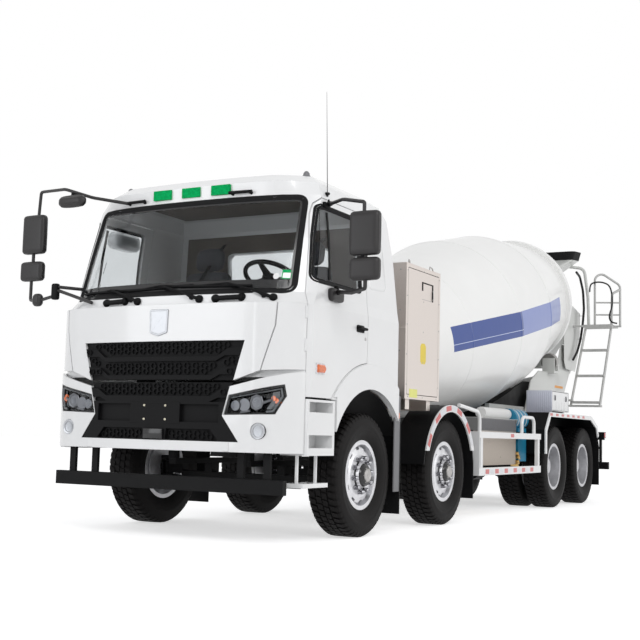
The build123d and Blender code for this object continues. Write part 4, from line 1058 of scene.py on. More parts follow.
def add_door_trim():
    for side, sign in SIDES:
        body = f"door_{side}"
        door = Skin(f"door_{side}")
        shell = Skin("cab_shell")
        out = Vector((sign, 0, 0))
        # handle in its pocket, lock below
        pocket = Shape()
        outline = rounded([(-4.010, 1.738), (-3.865, 1.738), (-3.865, 1.800), (-4.010, 1.800)], 0.020, 4)
        plate_on(pocket, door, side, outline, 0.004, 0.006)
        pocket.make(f"door_pocket_{side}", "black", body, sharp=30)
        a = door.lay(side, -4.005, 1.775, 0.004)
        b = door.lay(side, -3.870, 1.769, 0.004)
        pipe(f"door_handle_{side}", [a, a + out * 0.030, b + out * 0.030, b], 0.011, "black", body, bend=0.02)
        lock = Shape()
        lock.lathe([(-0.002, 0.014), (0.003, 0.014), (0.004, 0.011), (0.004, 0)],
                   door.lay(side, -3.838, 1.690, 0), out, 20)
        lock.make(f"door_lock_{side}", "bare", body)
        # side marker lamp
        base = Shape()
        outline = rounded([(-4.700, 1.343), (-4.563, 1.343), (-4.536, 1.386), (-4.563, 1.430),
                           (-4.700, 1.430)], 0.010, 3)
        plate_on(base, door, side, outline, 0.006, 0.010)
        base.make(f"marker_base_{side}", "white_lens", body, sharp=30)
        lamp = Shape()
        outline = rounded([(-4.684, 1.353), (-4.573, 1.353), (-4.548, 1.386), (-4.573, 1.420),
                           (-4.684, 1.420)], 0.010, 3)
        lamp.loft([door.loop(side, offset(outline, inward), lift)
                   for inward, lift in ((0, 0.004), (0.003, 0.016), (0.010, 0.021))])
        lamp.make(f"marker_lamp_{side}", "orange", body, sharp=30)
        # raised blank panel behind the door window
        panel = Shape()
        outline = rounded([(-3.745, 2.130), (-3.400, 2.150), (-3.440, 2.640), (-3.745, 2.735)], 0.060, 6)
        rings = [shell.loop(side, offset(spread(outline, 0.1), inward), lift)
                 for inward, lift in ((0, -0.001), (0.006, 0.005), (0.020, 0.006))]
        panel.loft(rings, ends=False)
        panel.cap(rings[-1])
        panel.make(f"blank_panel_{side}", "white", "root", sharp=60)
        # hinges of the door on its front edge
        hinges = Shape()
        for z in (1.560, 1.820):
            a, b = (shell.lay(side, -4.825, z + dz, 0.001) for dz in (-0.05, 0.05))
            hinges.rod(a, b, 0.011, 10)
        hinges.make(f"door_hinges_{side}", "white", "root")


def add_wipers():
    pane, shell = Skin("cab_glass"), Skin("cab_shell")
    arms, blades = Shape(), Shape()
    # pivot x, where the arm meets the blade (x, z), the blade's two ends (x, z)
    for pivot, joint, tip, heel in (
            (-0.278, (-0.600, 2.040), (-0.985, 2.030), (-0.300, 2.030)),
            (0.340, (-0.060, 2.052), (-0.420, 2.026), (0.250, 2.050)),
            (0.985, (0.580, 2.052), (0.120, 2.042), (0.785, 2.030))):
        base = shell.lay("front", pivot, 1.925, -0.004)
        arms.lathe([(0, 0.034), (0.022, 0.032), (0.032, 0.024), (0.036, 0.010), (0.036, 0)], base, -BACK, 18)
        side = shell.lay("front", pivot - 0.075, 1.938, -0.004)
        arms.lathe([(0, 0.017), (0.026, 0.015), (0.030, 0)], side, -BACK, 12)
        over = base - BACK * 0.030
        meet = pane.lay("front", *joint, 0.036)
        bend = over.lerp(meet, 0.35) - BACK * 0.012 + UP * 0.012
        for a, b, radius in ((over, bend, 0.014), (bend, meet, 0.009), (side - BACK * 0.026, bend, 0.007)):
            arms.rod(a, b, radius, 8)
        a, b = pane.lay("front", *tip, 0.016), pane.lay("front", *heel, 0.016)
        places = [Vector(tip).lerp(Vector(heel), k / 6) for k in range(7)]
        line = pane.loop("front", places, 0.012)
        for p, q in zip(line, line[1:]):
            blades.rod(p, q, 0.010, 8)
        for share in (0.2, 0.8):
            arms.rod(meet, a.lerp(b, share), 0.007, 6)
    # two grab handles below the screen
    for x0, x1 in ((-0.620, -0.415), (0.490, 0.722)):
        a, b = shell.lay("front", x0, 1.925), shell.lay("front", x1, 1.932)
        for end in (a, b):
            arms.lathe([(-0.004, 0.036), (0.012, 0.034), (0.034, 0.022), (0.040, 0)], end, -BACK, 16)
        arms.rod(a - BACK * 0.026, b - BACK * 0.026, 0.020, 12)
    arms.make("wiper_arms", "black", "root", sharp=40)
    blades.make("wiper_blades", "rubber", "root", sharp=40)


def add_roof_trim():
    shell = Skin("cab_shell")
    rails = Shape()
    for x0, x1 in ((-0.704, -0.487), (0.391, 0.605)):
        a, b = shell.lay("front", x0, 2.852, 0.030), shell.lay("front", x1, 2.852, 0.030)
        rails.rod(a, b, 0.0135, 12)
        for x, end, inward in ((x0 + 0.02, a, 0.02), (x1 - 0.02, b, -0.02)):
            rails.rod(shell.lay("front", x, 2.845, -0.004), end + Vector((inward, 0, 0)), 0.015, 10)
    rails.make("roof_grab_rails", "black", "root", sharp=50)
    beacons = Shape()
    for x in (-0.900, 0.945):
        base = shell.lay("top", x, -4.420, -0.004)
        beacons.lathe([(0, 0.036), (0.008, 0.035), (0.010, 0.029), (0.030, 0.026), (0.045, 0.016),
                       (0.050, 0.006), (0.0505, 0)], base, UP, 24)
    beacons.make("roof_beacons", "cast", "root", sharp=50)
    # whip aerial on the left roof edge
    base = shell.lay("left", -4.400, 2.845, -0.006)
    mast = Shape()
    mast.lathe([(0, 0.022), (0.014, 0.020), (0.018, 0.012)], base, (1, 0, 0.2), 16)
    mast.rod(base + Vector((0.015, -0.02, 0.0)), base + Vector((0.015, 0.02, 0.012)), 0.013, 12)
    top = base + Vector((-0.03, 0.0, 0.880))
    mast.lathe([(0, 0.0035), (0.3, 0.0028), ((top - base).length, 0.0012)],
               base + Vector((0.014, 0, 0)), top - base, 8)
    mast.make("aerial", "black", "root", sharp=50)


# ---------------------------------------------------------------- mirrors

def soft_box(low, high, radius, crown=0.0, steps=6):
    """Points and faces of a box with round edges and its broad faces slightly domed."""
    low, high = Vector(low), Vector(high)
    middle, half = (low + high) / 2, (high - low) / 2
    radius = min(radius, min(half) * 0.98)
    grid = {}
    verts, faces = [], []

    def spot(p):
        key = tuple(round(c * steps) for c in p)
        if key not in grid:
            full = Vector([c * h for c, h in zip(p, half)])
            core = Vector([max(-h + radius, min(h - radius, v)) for v, h in zip(full, half)])
            out = full - core
            place = core + out.normalized() * radius if out.length else full
            for axis in range(3):
                a, b = (axis + 1) % 3, (axis + 2) % 3
                if abs(abs(p[axis]) - 1) < 1e-6:
                    place[axis] += math.copysign(crown * (1 - p[a] ** 2) * (1 - p[b] ** 2), p[axis])
            grid[key] = len(verts)
            verts.append(middle + place)
        return grid[key]

    ticks = [2 * k / steps - 1 for k in range(steps + 1)]
    for axis in range(3):
        for end in (-1.0, 1.0):
            for i in range(steps):
                for j in range(steps):
                    corners = []
                    for u, v in ((i, j), (i + 1, j), (i + 1, j + 1), (i, j + 1)):
                        p = [0.0, 0.0, 0.0]
                        p[axis], p[(axis + 1) % 3], p[(axis + 2) % 3] = end, ticks[u], ticks[v]
                        corners.append(spot(p))
                    faces.append(tuple(corners if end > 0 else reversed(corners)))
    return verts, faces


def cushion(name, low, high, radius, look, body, crown=0.0, steps=12, lean=None):
    """A soft box as a piece, turned by a matrix where it leans."""
    shape = Shape()
    verts, faces = soft_box(low, high, radius, crown, steps)
    if lean is not None:
        verts = [lean @ v for v in verts]
    shape.add(verts, faces)
    return shape.make(name, look, body, sharp=70)


MIRROR_RIM = 0.016
MIRROR_GLASS = 0.006


def mirror_head(name, low, high, body, node, glass_y):
    """A rounded housing with its glass in the rear face."""
    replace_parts(cushion(name, low, high, 0.030, "soft_black", body, crown=0.004, steps=14), node)
    x0, x1, z0, z1 = low[0] + MIRROR_RIM, high[0] - MIRROR_RIM, low[2] + MIRROR_RIM, high[2] - MIRROR_RIM
    rim = rounded([(x0, z0), (x1, z0), (x1, z1), (x0, z1)], 0.022, 4)
    pane = Shape()
    pane.loft([[Vector((x, y, z)) for x, z in rim] for y in (glass_y, glass_y - MIRROR_GLASS)])
    pane.make(name + "_glass", "mirror", body, sharp=30)


def mirror_tubes(side, tubes, body, node):
    for name, route, radius, bend in tubes:
        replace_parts(pipe(f"mirror_{side}_arm_{name}", route, radius, "soft_black", body, bend=bend), node)


# name, route, radius and bend of the arms' tubes
LEFT_TUBES = (
    ("upper", [(1.150, -4.420, 2.752), (1.400, -4.620, 2.742), (1.660, -4.750, 2.675),
               (1.660, -4.750, 2.585)], 0.0150, 0.060),
    ("lower", [(1.236, -4.400, 2.030), (1.500, -4.620, 1.985), (1.680, -4.750, 1.995),
               (1.680, -4.750, 2.075)], 0.0165, 0.035),
    ("neck", [(1.680, -4.750, 2.225), (1.680, -4.750, 2.270)], 0.0150, None),
)
RIGHT_TUBES = (
    ("neck", [(-1.680, -4.810, 2.355), (-1.680, -4.810, 2.450)], 0.0150, None),
    ("strut", [(-1.240, -4.950, 2.070), (-0.780, -5.030, 1.935)], 0.0150, None),
    ("rear_strut", [(-1.240, -4.950, 2.100), (-1.100, -4.760, 2.095)], 0.0150, None),
    ("lower", [(-1.290, -4.950, 2.020), (-1.500, -4.900, 1.995), (-1.690, -4.810, 2.015),
               (-1.690, -4.810, 2.200)], 0.0155, 0.050),
    ("top", [(-1.640, -4.810, 2.785), (-1.620, -4.815, 3.010), (-1.230, -4.930, 2.980),
             (-0.950, -4.880, 2.890), (-0.690, -4.720, 2.850)], 0.0145, 0.060),
)
# profile of (distance, radius), start and direction of the left arms' turned joints
LEFT_JOINTS = (
    ([(0, 0.019), (0.030, 0.019)], (1.655, -4.750, 2.232), (0, 0, 1), 14),
    ([(0, 0.020), (0.045, 0.023), (0.060, 0.018)], (1.250, -4.412, 2.014), (0.02, 0, 1), 16),
    ([(0, 0.021), (0.085, 0.021)], (1.222, -4.390, 2.028), (0.77, -0.62, -0.12), 14),
    ([(0, 0.019), (0.060, 0.019)], (1.165, -4.431, 2.752), (0.8, -0.59, 0.0), 14),
    ([(0, 0.013), (0.012, 0.013), (0.016, 0.009), (0.030, 0.008)], (1.170, -4.432, 2.765), UP, 12),
)
# name, node, low and high corner, rounding, look, crown and steps of the arms' moulded pieces
MIRROR_BLOCKS = (
    ("mirror_left_bracket", "mirrors_left", (1.212, -4.505, 1.948), (1.275, -4.300, 2.050),
     0.022, "soft_black", 0.004, 10),
    ("mirror_left_clamp", "mirrors_left", (1.128, -4.500, 2.722), (1.176, -4.400, 2.768),
     0.012, "black", 0.0, 8),
    ("mirror_right_hinge", "mirrors_right", (-1.302, -4.977, 1.988), (-1.233, -4.923, 2.132),
     0.018, "black", 0.0, 8),
    ("mirror_hood", "mirrors_right", (-1.215, -5.040, 2.798), (-0.940, -4.965, 2.890),
     0.034, "soft_black", 0.010, 12),
    ("mirror_hood_link", "mirrors_right", (-1.112, -4.990, 2.868), (-1.078, -4.885, 2.932),
     0.010, "black", 0.0, 6),
    ("mirror_kerb", "mirrors_right", (-1.562, -4.935, 1.948), (-1.468, -4.870, 2.052),
     0.028, "soft_black", 0.006, 12),
)


def add_mirrors():
    """The left mirrors ride on their door, the right ones on the cab."""
    body, node = "door_left", "mirrors_left"
    mirror_head("mirror_left_main", (1.545, -4.790, 2.255), (1.800, -4.712, 2.600), body, node, -4.7085)
    mirror_head("mirror_left_wide", (1.550, -4.790, 2.060), (1.805, -4.717, 2.235), body, node, -4.7135)
    mirror_tubes("left", LEFT_TUBES, body, node)
    joints = Shape()
    for profile, place, axis, segments in LEFT_JOINTS:
        joints.lathe(profile, place, axis, segments)
    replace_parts(joints.make("mirror_left_joints", "black", body, sharp=40), node)

    body, node = "root", "mirrors_right"
    mirror_head("mirror_right_main", (-1.800, -4.850, 2.440), (-1.548, -4.772, 2.795), body, node, -4.7685)
    mirror_head("mirror_right_wide", (-1.805, -4.850, 2.190), (-1.550, -4.777, 2.365), body, node, -4.7735)
    mirror_tubes("right", RIGHT_TUBES, body, node)

    for name, node, low, high, radius, look, crown, steps in MIRROR_BLOCKS:
        body = "door_left" if node == "mirrors_left" else "root"
        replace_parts(cushion(name, low, high, radius, look, body, crown=crown, steps=steps), node)
    # pale mirror looking down outside the right door's window
    cushion("mirror_look_down", (-1.365, -4.200, 2.575), (-1.205, -3.830, 2.735), 0.055, "white",
            "door_right", crown=0.008)
    pipe("mirror_look_down_arm", [(-1.270, -4.010, 2.700), (-1.270, -4.010, 2.800), (-1.150, -4.030, 2.845)],
         0.0095, "black", "door_right", bend=0.03)


# ---------------------------------------------------------------- inside the cab

LINING_GAP = 0.012
SEAT_HINGE = Vector((0, -3.815, 1.740))


def add_interior():
    """Stands for the plain dash, seats and wheel of the frame's cab_interior."""
    def stand_in(piece):
        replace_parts(piece, "cab_interior")

    # dash: a profile in Y and Z run across the cab
    dash = Shape()
    rings = []
    for k in range(25):
        x = -1.080 + 2.160 * k / 24
        reach = abs(x)
        front = -4.955 + 0.05 * (reach / 0.8) ** 2 + (0.45 * max(0.0, reach - 0.8))
        rings.append([Vector((x, y, z)) for y, z in (
            (front, 1.700), (front, 1.915), (front + 0.030, 1.938), (-4.745, 1.952), (-4.705, 1.945),
            (-4.690, 1.920), (-4.688, 1.860), (-4.715, 1.840), (-4.720, 1.640), (-4.760, 1.520))])
    dash.loft(rings)
    stand_in(dash.make("dash", "interior", "root", bevel=0.004, sharp=35))
    hood = Shape()
    rings = []
    for k in range(21):
        t = -1 + 2 * k / 20
        x, top = -0.070 + 0.305 * t, 1.945 + 0.108 * math.sqrt(max(0.0, 1 - abs(t) ** 2.6))
        rings.append([Vector((x, y, z)) for y, z in (
            (-4.825, 1.940), (-4.815, top - 0.012), (-4.790, top), (-4.700, top - 0.003),
            (-4.684, top - 0.012), (-4.684, 1.940))])
    hood.loft(rings)
    stand_in(hood.make("instrument_hood", "black", "root", sharp=40))
    stand_in(cushion("engine_cover", (-0.260, -4.400, 1.260), (0.260, -3.300, 1.555), 0.060, "interior",
                     "root", crown=0.010))
    # seats
    for name, x in (("driver", 0.600), ("passenger", -0.470)):
        base = Shape()
        base.box((x - 0.190, -4.220, 1.250), (x + 0.190, -3.920, 1.600))
        base.box((x - 0.215, -4.250, 1.585), (x + 0.215, -3.880, 1.630))
        stand_in(base.make(f"seat_base_{name}", "black", "root", bevel=0.012))
        lean = (Matrix.Translation(SEAT_HINGE) @ Matrix.Rotation(math.radians(-7), 4, "X")
                @ Matrix.Translation(-SEAT_HINGE))
        parts = (
            ("cushion", (x - 0.250, -4.350, 1.625), (x + 0.250, -3.830, 1.770), 0.060, 0.020, None),
            ("back", (x - 0.240, -3.875, 1.740), (x + 0.240, -3.755, 2.350), 0.055, 0.018, lean),
            ("headrest", (x - 0.140, -3.865, 2.385), (x + 0.140, -3.770, 2.585), 0.045, 0.014, lean),
        )
        for part, low, high, radius, crown, turn in parts:
            pad = cushion(f"seat_{part}_{name}", low, high, radius, "fabric", "root", crown, 16, turn)
            stand_in(pad)
        posts = Shape()
        for dx in (-0.060, 0.060):
            a, b = lean @ Vector((x + dx, -3.817, 2.330)), lean @ Vector((x + dx, -3.817, 2.410))
            posts.rod(a, b, 0.007, 10)
        stand_in(posts.make(f"seat_posts_{name}", "bare", "root"))
        belt = Shape()
        a, b = Vector((x + 0.10, -3.640, 2.640)), Vector((x - 0.235, -4.020, 1.660))
        bow = Vector((x - 0.02, -3.975, 2.200))
        rings = []
        for k in range(9):
            t = k / 8
            p = a * (1 - t) ** 2 + bow * 2 * t * (1 - t) + b * t * t
            rings.append([p + Vector((dx, dy, 0))
                          for dx, dy in ((-0.023, 0), (0.023, 0), (0.023, 0.0025), (-0.023, 0.0025))])
        belt.loft(rings)
        stand_in(belt.make(f"seat_belt_{name}", "black", "root", sharp=60))
    # steering wheel
    axis = Vector((0, 0.55, 1)).normalized()
    across = Vector((1, 0, 0))
    down = axis.cross(across)
    centre = Vector((0.680, -4.500, 2.155))
    wheel = Shape()
    rings = []
    for k in range(48):
        t = 2 * math.pi * k / 48
        out = across * math.cos(t) + down * math.sin(t)
        rings.append([centre + out * (0.225 + 0.019 * math.cos(s)) + axis * 0.021 * math.sin(s)
                      for s in (2 * math.pi * i / 10 for i in range(10))])
    wheel.loft(rings, closed=True)
    for t in (0.25, 2.89, 4.712):
        out = across * math.cos(t) + down * math.sin(t)
        side = axis.cross(out)
        a, b = centre + out * 0.055 - axis * 0.012, centre + out * 0.218
        wheel.loft([[p + side * w + axis * h for w, h in ((-r, -0.008), (r, -0.008), (r, 0.008), (-r, 0.008))]
                    for p, r in ((a, 0.034), (b, 0.018))])
    wheel.lathe([(-0.045, 0.040), (-0.030, 0.070), (-0.005, 0.078), (0.004, 0.070), (0.006, 0)],
                centre, axis, 28)
    wheel.lathe([(-0.320, 0.036), (-0.040, 0.036)], centre, axis, 18)
    stand_in(wheel.make("steering_wheel", "black", "root", sharp=45))
    # lining of the rear wall round its window, and of the roof
    lining = Shape()
    rim = spread([Vector(p) for p in ((-1.120, 1.270), (1.120, 1.270), (1.100, 2.200), (1.030, 2.780),
                                      (-1.030, 2.780), (-1.100, 2.200))], 0.12)
    window = rounded([(-0.575, 2.135), (0.575, 2.135), (0.575, 2.615), (-0.575, 2.615)], 0.065, 4)
    middle = Vector((0, 2.2))
    # the hole's edge in the direction of each point of the rim
    inner = [min(window, key=lambda w: abs((w - middle).angle_signed(p - middle))) for p in rim]
    shell = Skin("cab_shell")

    def wall_y(z):
        """The rear wall's inner face at a height, clear of its window."""
        hits = [shell.tree.ray_cast(Vector((x, -3.60, z)), BACK)[0] for x in (-0.9, -0.62, 0.62, 0.9)]
        return min(hit.y if hit is not None and hit.y < -3.15 else -3.30 for hit in hits)

    flat, hole = ([Vector((p[0], wall_y(p[1]) - LINING_GAP, p[1])) for p in loop] for loop in (rim, inner))
    lining.loft([[p + BACK * 0.006 for p in hole], hole, flat, [p + BACK * 0.006 for p in flat]], ends=False)
    lining.make("rear_lining", "lining", "root", sharp=40)
    roof = Shape()
    ys = [-4.56 + 1.10 * k / 9 for k in range(10)]
    for x0, x1 in ((-0.96 + 0.16 * k, -0.80 + 0.16 * k) for k in range(12)):
        for y0, y1 in zip(ys, ys[1:]):
            quad = []
            for x, y in ((x0, y0), (x1, y0), (x1, y1), (x0, y1)):
                hit = shell.tree.ray_cast(Vector((x, y, 2.40)), UP)[0]
                quad.append(Vector((x, y, min(hit.z if hit is not None else 2.95, 2.95) - LINING_GAP)))
            roof.add(quad, [(3, 2, 1, 0)])
    roof.make("roof_lining", "lining", "root", sharp=60)


# ---------------------------------------------------------------- cabinet behind the cab

CABINET_INNER_X = 0.680


def add_cabinet_trim():
    low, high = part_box("steel_cabinet")
    face = Skin("steel_cabinet", "cabinet_door")
    width = high.y - low.y
    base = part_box("cabinet_door")[0].z - 0.046

    def place(u, v):
        return low.y + u * width, base + v * (high.z - base)

    fixed, moving = Shape(), Shape()
    edges = [place(u, v) for u in (0.035, 0.965) for v in (0.105, 0.325, 0.545, 0.755, 0.945)]
    ends = [place(u, v) for u in (0.085, 0.50, 0.915) for v in (0.972, 0.018)]
    rivets(fixed, face, "left", edges + ends, 0.0085, 0.004)
    rivets(moving, face, "left", [place(0.50, v) for v in (0.28, 0.51, 0.74)], 0.0085, 0.004)
    front = [(x, place(0, v)[1]) for x in (CABINET_INNER_X + 0.05, CABINET_INNER_X + 0.25, high.x - 0.06)
             for v in (0.05, 0.35, 0.65, 0.95)]
    rivets(fixed, face, "front", front, 0.0080, 0.004)
    fixed.make("cabinet_rivets", "bare", "root", sharp=60)
    moving.make("cabinet_door_rivets", "bare", "cabinet_door", sharp=60)
    # sunk latch with its frame
    latch = Shape()
    (y0, z0), (y1, z1) = place(0.445, 0.757), place(0.775, 0.890)
    x = face.lay("left", y0, z0).x
    bars = (((y0, z1 - 0.012), (y1, z1)), ((y0, z0 + 0.085), (y0 + 0.024, z1)), ((y1 - 0.024, z0), (y1, z1)))
    for (a, c), (b, d) in bars:
        latch.box((x - 0.001, a, c), (x + 0.0035, b, d))
    latch.make("cabinet_latch_frame", "black", "cabinet_door", bevel=0.001)
    handle = Shape()
    handle.box((x - 0.001, y0, z0), (x + 0.002, y1 - 0.024, z0 + 0.004))
    for z in (z0 + 0.022, z0 + 0.105):
        handle.lathe([(0, 0.010), (0.012, 0.009), (0.014, 0)], (x, y1 - 0.012, z), (1, 0, 0), 12)
    handle.rod((x + 0.010, y1 - 0.012, z0 + 0.022), (x + 0.010, y1 - 0.012, z0 + 0.105), 0.005, 8)
    handle.make("cabinet_latch", "bare", "cabinet_door", bevel=0.0008)
    # blank labels
    label = Shape()
    (y0, z0), (y1, z1) = place(0.425, 0.270), place(0.585, 0.425)
    cut = 0.028
    outline = [(y0 + cut, z0), (y1 - cut, z0), (y1, z0 + cut), (y1, z1 - cut),
               (y1 - cut, z1), (y0 + cut, z1), (y0, z1 - cut), (y0, z0 + cut)]
    plate_on(label, face, "left", outline, 0.0012, 0.0012)
    label.make("cabinet_label", "yellow", "cabinet_door", sharp=30)
    label = Shape()
    (y0, z0), (y1, z1) = place(0.125, 0.012), place(0.350, 0.075)
    plate_on(label, face, "left", [(y0, z0), (y1, z0), (y1, z1), (y0, z1)], 0.0012, 0.0012)
    label.make("cabinet_square_label", "lime", "root", sharp=30)
    # seam across the front sheet and two lashing hooks on the roof
    seam = Shape()
    z = place(0, 0.52)[1]
    seam.box((CABINET_INNER_X + 0.004, low.y - 0.0030, z - 0.012), (high.x - 0.004, low.y + 0.001, z))
    seam.make("cabinet_seam", "steel", "root", bevel=0.001)
    for number, (y, dy) in enumerate(((low.y + 0.060, 0.075), (high.y - 0.260, 0.150))):
        route = [(high.x - 0.010, y, high.z - 0.004), (high.x - 0.006, y, high.z + 0.034),
                 (high.x - 0.020, y + dy * 0.6, high.z + 0.030), (high.x - 0.030, y + dy, high.z - 0.002)]
        pipe(f"cabinet_hook_{number}", route, 0.006, "bare", "root", bend=0.02)


# ---------------------------------------------------------------- fenders, flaps and guards

def tape(shape, skin, view, u, v, half_u, half_v, turn=0.0, lift=0.0015):
    """A short piece of film laid on a surface."""
    c, s = math.cos(turn), math.sin(turn)
    corners = [(u + a * c - b * s, v + a * s + b * c)
               for a, b in ((-half_u, -half_v), (half_u, -half_v), (half_u, half_v), (-half_u, half_v))]
    plate_on(shape, skin, view, corners, lift, lift + 0.0005)


ARCH_TAPE_RADIUS = 0.634
ARCH_TAPE_LOW = 0.775


def add_tapes():
    """Tapes of the arches and guards, and the strip and reflector of the first flap."""
    for side, sign in SIDES:
        red, white = Shape(), Shape()
        edges = Skin("fender_edges")
        # white and red blocks in turn along the second axle's arch
        for k in range(11):
            angle = math.radians(164 - 13.3 * k)
            u, v = AXLE_Y[1] + ARCH_TAPE_RADIUS * math.cos(angle), AXLE_Z + ARCH_TAPE_RADIUS * math.sin(angle)
            if v > ARCH_TAPE_LOW:
                tape(red if k % 2 else white, edges, side, u, v, 0.0255, 0.066, angle)
        # along the top edge of the rear hood
        for k in range(7):
            tape(red, edges, side, 1.520 + 0.247 * k, 1.197, 0.052, 0.016)
        guard = Skin("side_guards")
        for y in (-0.801, -0.496, -0.187, 0.123, 0.428, 0.738):
            tape(red, guard, side, y, 0.514, 0.055, 0.025)
        tape(red, guard, side, 0.020, 0.911, 0.055, 0.020)
        red.make(f"red_tapes_{side}", "tape_red", "root", sharp=30)
        # white blocks between the red ones of the lower rail
        for y in (-0.648, -0.341, -0.032, 0.276, 0.583):
            tape(white, guard, side, y, 0.514, 0.058, 0.025)
        white.make(f"white_tapes_{side}", "tape_white", "root", sharp=30)
        # grey strip and reflector at the outer edge of the first flap
        strip = Shape()
        strip.box((sign * 1.208, -3.170, 0.372), (sign * 1.222, -3.052, 1.236))
        strip.make(f"flap_strip_{side}", "cast", "root", bevel=0.003)
        reflector = Shape()
        reflector.lathe([(0, 0.030), (0.006, 0.030), (0.008, 0.026), (0.008, 0)],
                        (sign * 1.222, -3.105, 1.055), (sign, 0, 0), 20)
        reflector.make(f"flap_reflector_{side}", "orange", "root", sharp=40)


# ---------------------------------------------------------------- tanks and the left side

BOX_RIB_COUNT = 62
# distance from the lying tank's axis, distance along it
STRAP_SECTION = ((0.1245, -0.010), (0.1245, 0.010), (0.1295, 0.010), (0.1295, -0.010))
LYING_TANK_X, LYING_TANK_Z = 0.900, 1.120


def add_side_fittings():
    """Ribs and edge of the beige box, straps of the lying tank and valves of the water tank."""
    skin = Skin("chassis_tanks")
    # upright ribs of the box's grey top
    ribs = Shape()
    start, end = -0.448, 0.838
    for k in range(BOX_RIB_COUNT):
        y = start + (end - start) * (k + 0.5) / BOX_RIB_COUNT
        x = skin.lay("left", y, 1.03).x
        ribs.box((x - 0.002, y - 0.006, 0.968), (x + 0.006, y + 0.006, 1.095))
    ribs.make("box_ribs", "cast", "root", sharp=30)
    frame_strip = Shape()
    x = skin.lay("left", 0.0, 0.80).x
    frame_strip.box((x - 0.001, start, 0.944), (x + 0.004, end, 0.960))
    for y, z in ((start + 0.35, 0.83), (start + 0.75, 0.66)):
        frame_strip.lathe([(0, 0.011), (0.004, 0.011), (0.006, 0)], (x, y, z), (1, 0, 0), 10)
    frame_strip.make("box_edge", "box", "root", bevel=0.001)
    # white straps round the lying tank
    straps = Shape()
    for y in (0.890, 1.035, 1.180):
        rings = []
        for k in range(33):
            t = math.radians(-40 + 260 * k / 32)
            rings.append([Vector((LYING_TANK_X + r * math.cos(t), y + dy, LYING_TANK_Z + r * math.sin(t)))
                          for r, dy in STRAP_SECTION])
        straps.loft(rings)
    straps.make("tank_straps", "white", "root", sharp=30)
    # brass elbows by the water tank
    brass = Shape()
    for y, z in ((0.860, 0.700), (0.905, 0.655), (0.880, 0.600), (0.850, 0.560)):
        brass.rod((0.940, y, z), (1.030, y, z), 0.020, 6)
        brass.rod((1.010, y, z), (1.010, y + 0.050, z - 0.020), 0.015, 10)
    brass.make("brass_valves", "brass", "root", bevel=0.001)


# ---------------------------------------------------------------- rear of the truck

LOUVRE_COUNT = 13


def add_tool_box_trim():
    low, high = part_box("tool_box")
    # louvres across the front face
    louvres = Shape()
    for k in range(LOUVRE_COUNT):
        x = low.x + 0.022 + (high.x - low.x - 0.044) * k / (LOUVRE_COUNT - 1)
        louvres.box((x - 0.007, low.y - 0.0055, low.z + 0.012), (x + 0.007, low.y + 0.001, high.z - 0.012))
    plate = Shape()
    plate.box((low.x + 0.002, low.y - 0.002, low.z + 0.002), (high.x - 0.002, low.y + 0.001, high.z - 0.002))
    plate.make("tool_box_front", "grey_blue", "root", bevel=0.0006)
    louvres.make("tool_box_louvres", "grey_blue", "root", bevel=0.0025)
    door = Skin("tool_box_door")
    latches = Shape()
    for u in (0.17, 0.83):
        y = low.y + u * (high.y - low.y)
        x = door.lay("left", y, low.z + 0.18).x
        latches.box((x - 0.001, y - 0.016, low.z + 0.170), (x + 0.008, y + 0.016, low.z + 0.240))
        latches.rod((x + 0.010, y, low.z + 0.175), (x + 0.010, y, low.z + 0.225), 0.006, 8)
    latches.make("tool_box_latches", "cast", "tool_box_door", bevel=0.0015)
    ribs = Shape()
    for u in (0.25, 0.42, 0.58, 0.75):
        y = low.y + u * (high.y - low.y)
        x = door.lay("left", y, low.z + 0.12).x
        ribs.box((x - 0.001, y - 0.010, low.z + 0.030), (x + 0.003, y + 0.010, low.z + 0.150))
    ribs.make("tool_box_ribs", "white", "tool_box_door", bevel=0.0012)
    # orange film on the pedestal
    strip = Shape()
    plate_on(strip, Skin("rear_pedestal"), "left",
             [(3.920, 1.655), (4.330, 1.655), (4.330, 1.690), (3.920, 1.690)], 0.0012, 0.0012)
    strip.make("pedestal_film", "amber_film", "root")


# distance along the drum's axis and height of each weld
DRUM_WELDS = ((0.520, 0.0045), (1.630, 0.0035), (2.805, 0.0045), (4.100, 0.0045))


def add_drum_seams():
    """Welds where the drum's shells meet."""
    skin = Skin("drum")
    for number, (distance, height) in enumerate(DRUM_WELDS):
        shape = Shape()
        rings = []
        for k in range(96):
            t = 2 * math.pi * k / 96
            out = Vector((math.cos(t), 0, 0)) + DRUM_OUT * math.sin(t)
            ring = []
            for shift, lift in ((-0.014, -0.002), (-0.007, height), (0.007, height), (0.014, -0.002)):
                start = DRUM_ORIGIN + DRUM_AXIS * (distance + shift) + out * 3.0
                hit = skin.tree.ray_cast(start, -out)[0]
                ring.append(hit + out * lift)
            rings.append(ring)
        shape.loft(rings, closed=True)
        shape.make(f"drum_weld_{number}", "drum", "drum", sharp=50)


def add_tail_lamps():
    for side, sign in SIDES:
        lens, housing = Shape(), Shape()
        x0, x1 = sorted((sign * 0.968, sign * 1.156))
        housing.box((x0 - 0.006, 4.528, 0.924), (x1 + 0.006, 4.545, 1.014))
        lens.box((x0, 4.540, 0.930), (x1, 4.556, 1.008))
        # side lens
        x0, x1 = sorted((sign * 1.159, sign * 1.167))
        lens.box((x0, 4.446, 0.930), (x1, 4.524, 1.006))
        lens.make(f"tail_lens_{side}", "red", "root", bevel=0.003)
        housing.make(f"tail_housing_{side}", "black", "root", bevel=0.002)


WASH_HOSE_RADIUS = 0.012


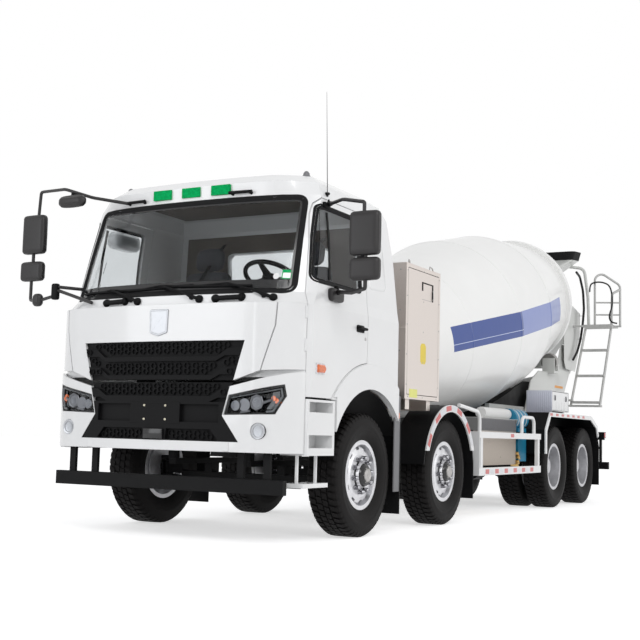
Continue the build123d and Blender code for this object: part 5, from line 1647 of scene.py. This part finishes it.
def add_hoses():
    """The free wash hose over the railing and the clamped water hose beside the collector's side sheet."""
    route = [(0.790, 5.000, 3.230), (0.850, 4.775, 3.300), (0.935, 4.712, 3.335), (1.080, 4.714, 3.330),
             (1.200, 4.714, 3.255), (1.225, 4.714, 2.960), (1.160, 4.712, 2.790), (1.205, 4.712, 2.690),
             (1.290, 4.712, 2.682)]
    curve = round_curve("wash_hose_line", route, WASH_HOSE_RADIUS, 8, 4)
    material, slot = LOOKS["hose"]
    curve.materials.append(material)
    hose = bpy.data.objects.new("wash_hose_line", curve)
    scene.collection.objects.link(hose)
    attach(hose, "root")
    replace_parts(hose, "wash_hose")
    water = [(0.700, 4.560, 3.480), (0.690, 4.790, 3.440), (0.680, 5.010, 3.240), (0.672, 5.095, 2.960),
             (0.662, 5.060, 2.720), (0.655, 4.960, 2.465), (0.650, 4.800, 2.265), (0.640, 4.600, 2.120)]
    pipe("water_hose", water, 0.019, "hose", "root", bend=0.12)
    clips = Shape()
    for y, z in ((5.080, 2.880), (4.975, 2.500)):
        clips.box((0.606, y - 0.012, z - 0.030), (0.690, y + 0.012, z - 0.024))
    clips.make("water_hose_clips", "galvanised", "root")


def add_ladder_treads():
    """Folded edges and raised grips of the rungs, and the grating of the platform."""
    grips = Shape()
    for z in (1.460, 1.870, 2.270):
        # the ladder narrows and leans back as it rises
        share = (z - 1.410) / 1.240
        x0, x1 = 0.655 + share * 0.145 + 0.02, 1.100 + share * 0.095 - 0.02
        y = 4.430 + share * 0.320
        for dy in (-0.032, 0.032):
            grips.box((x0, y + dy - 0.0035, z - 0.022), (x1, y + dy + 0.0035, z + 0.0145))
        for k in range(9):
            x = x0 + 0.02 + (x1 - x0 - 0.04) * k / 8
            grips.lathe([(0, 0.011), (0.003, 0.009), (0.0035, 0.006)], (x, y, z + 0.0125), UP, 10)
    for k in range(16):
        y = 4.712 + 0.366 * k / 15
        grips.box((0.760, y - 0.002, 2.664), (1.205, y + 0.002, 2.672))
    grips.make("ladder_treads", "galvanised", "root")


add_camera()
add_world()
add_floor()
add_area_light("key", (9, -13, 9), (0, -2, 1.5), (7, 5), 620)
add_area_light("front_fill", (-6, -15, 4), (0, -3, 1.5), (6, 6), 260, (0.95, 0.97, 1.0))
add_area_light("side_fill", (14, 2, 5), (0, 1, 1.5), (8, 5), 360)
dress_nodes()

add_tyres()
add_front_wheel_trim()
add_rear_wheel_trim()
add_headlamps(Skin("front_bumper", "headlamps"))
add_fog_lamps()
add_honeycomb("flap_honeycomb", Skin("flap_grille"), FLAP_GRILLE, "service_flap")
add_honeycomb("bumper_honeycomb", Skin("bumper_grille"), BUMPER_GRILLE, "root")
add_honeycomb("intake_honeycomb", Skin("bumper_grille"), LOW_INTAKE, "root")
add_front_trim()
add_glazing_trim()
add_door_trim()
add_wipers()
add_roof_trim()
add_mirrors()
add_interior()
add_cabinet_trim()
add_tapes()
add_side_fittings()
add_tool_box_trim()
add_drum_seams()
add_tail_lamps()
add_ladder_treads()
add_hoses()

scene.view_settings.view_transform = "Standard"
bpy.context.view_layer.update()
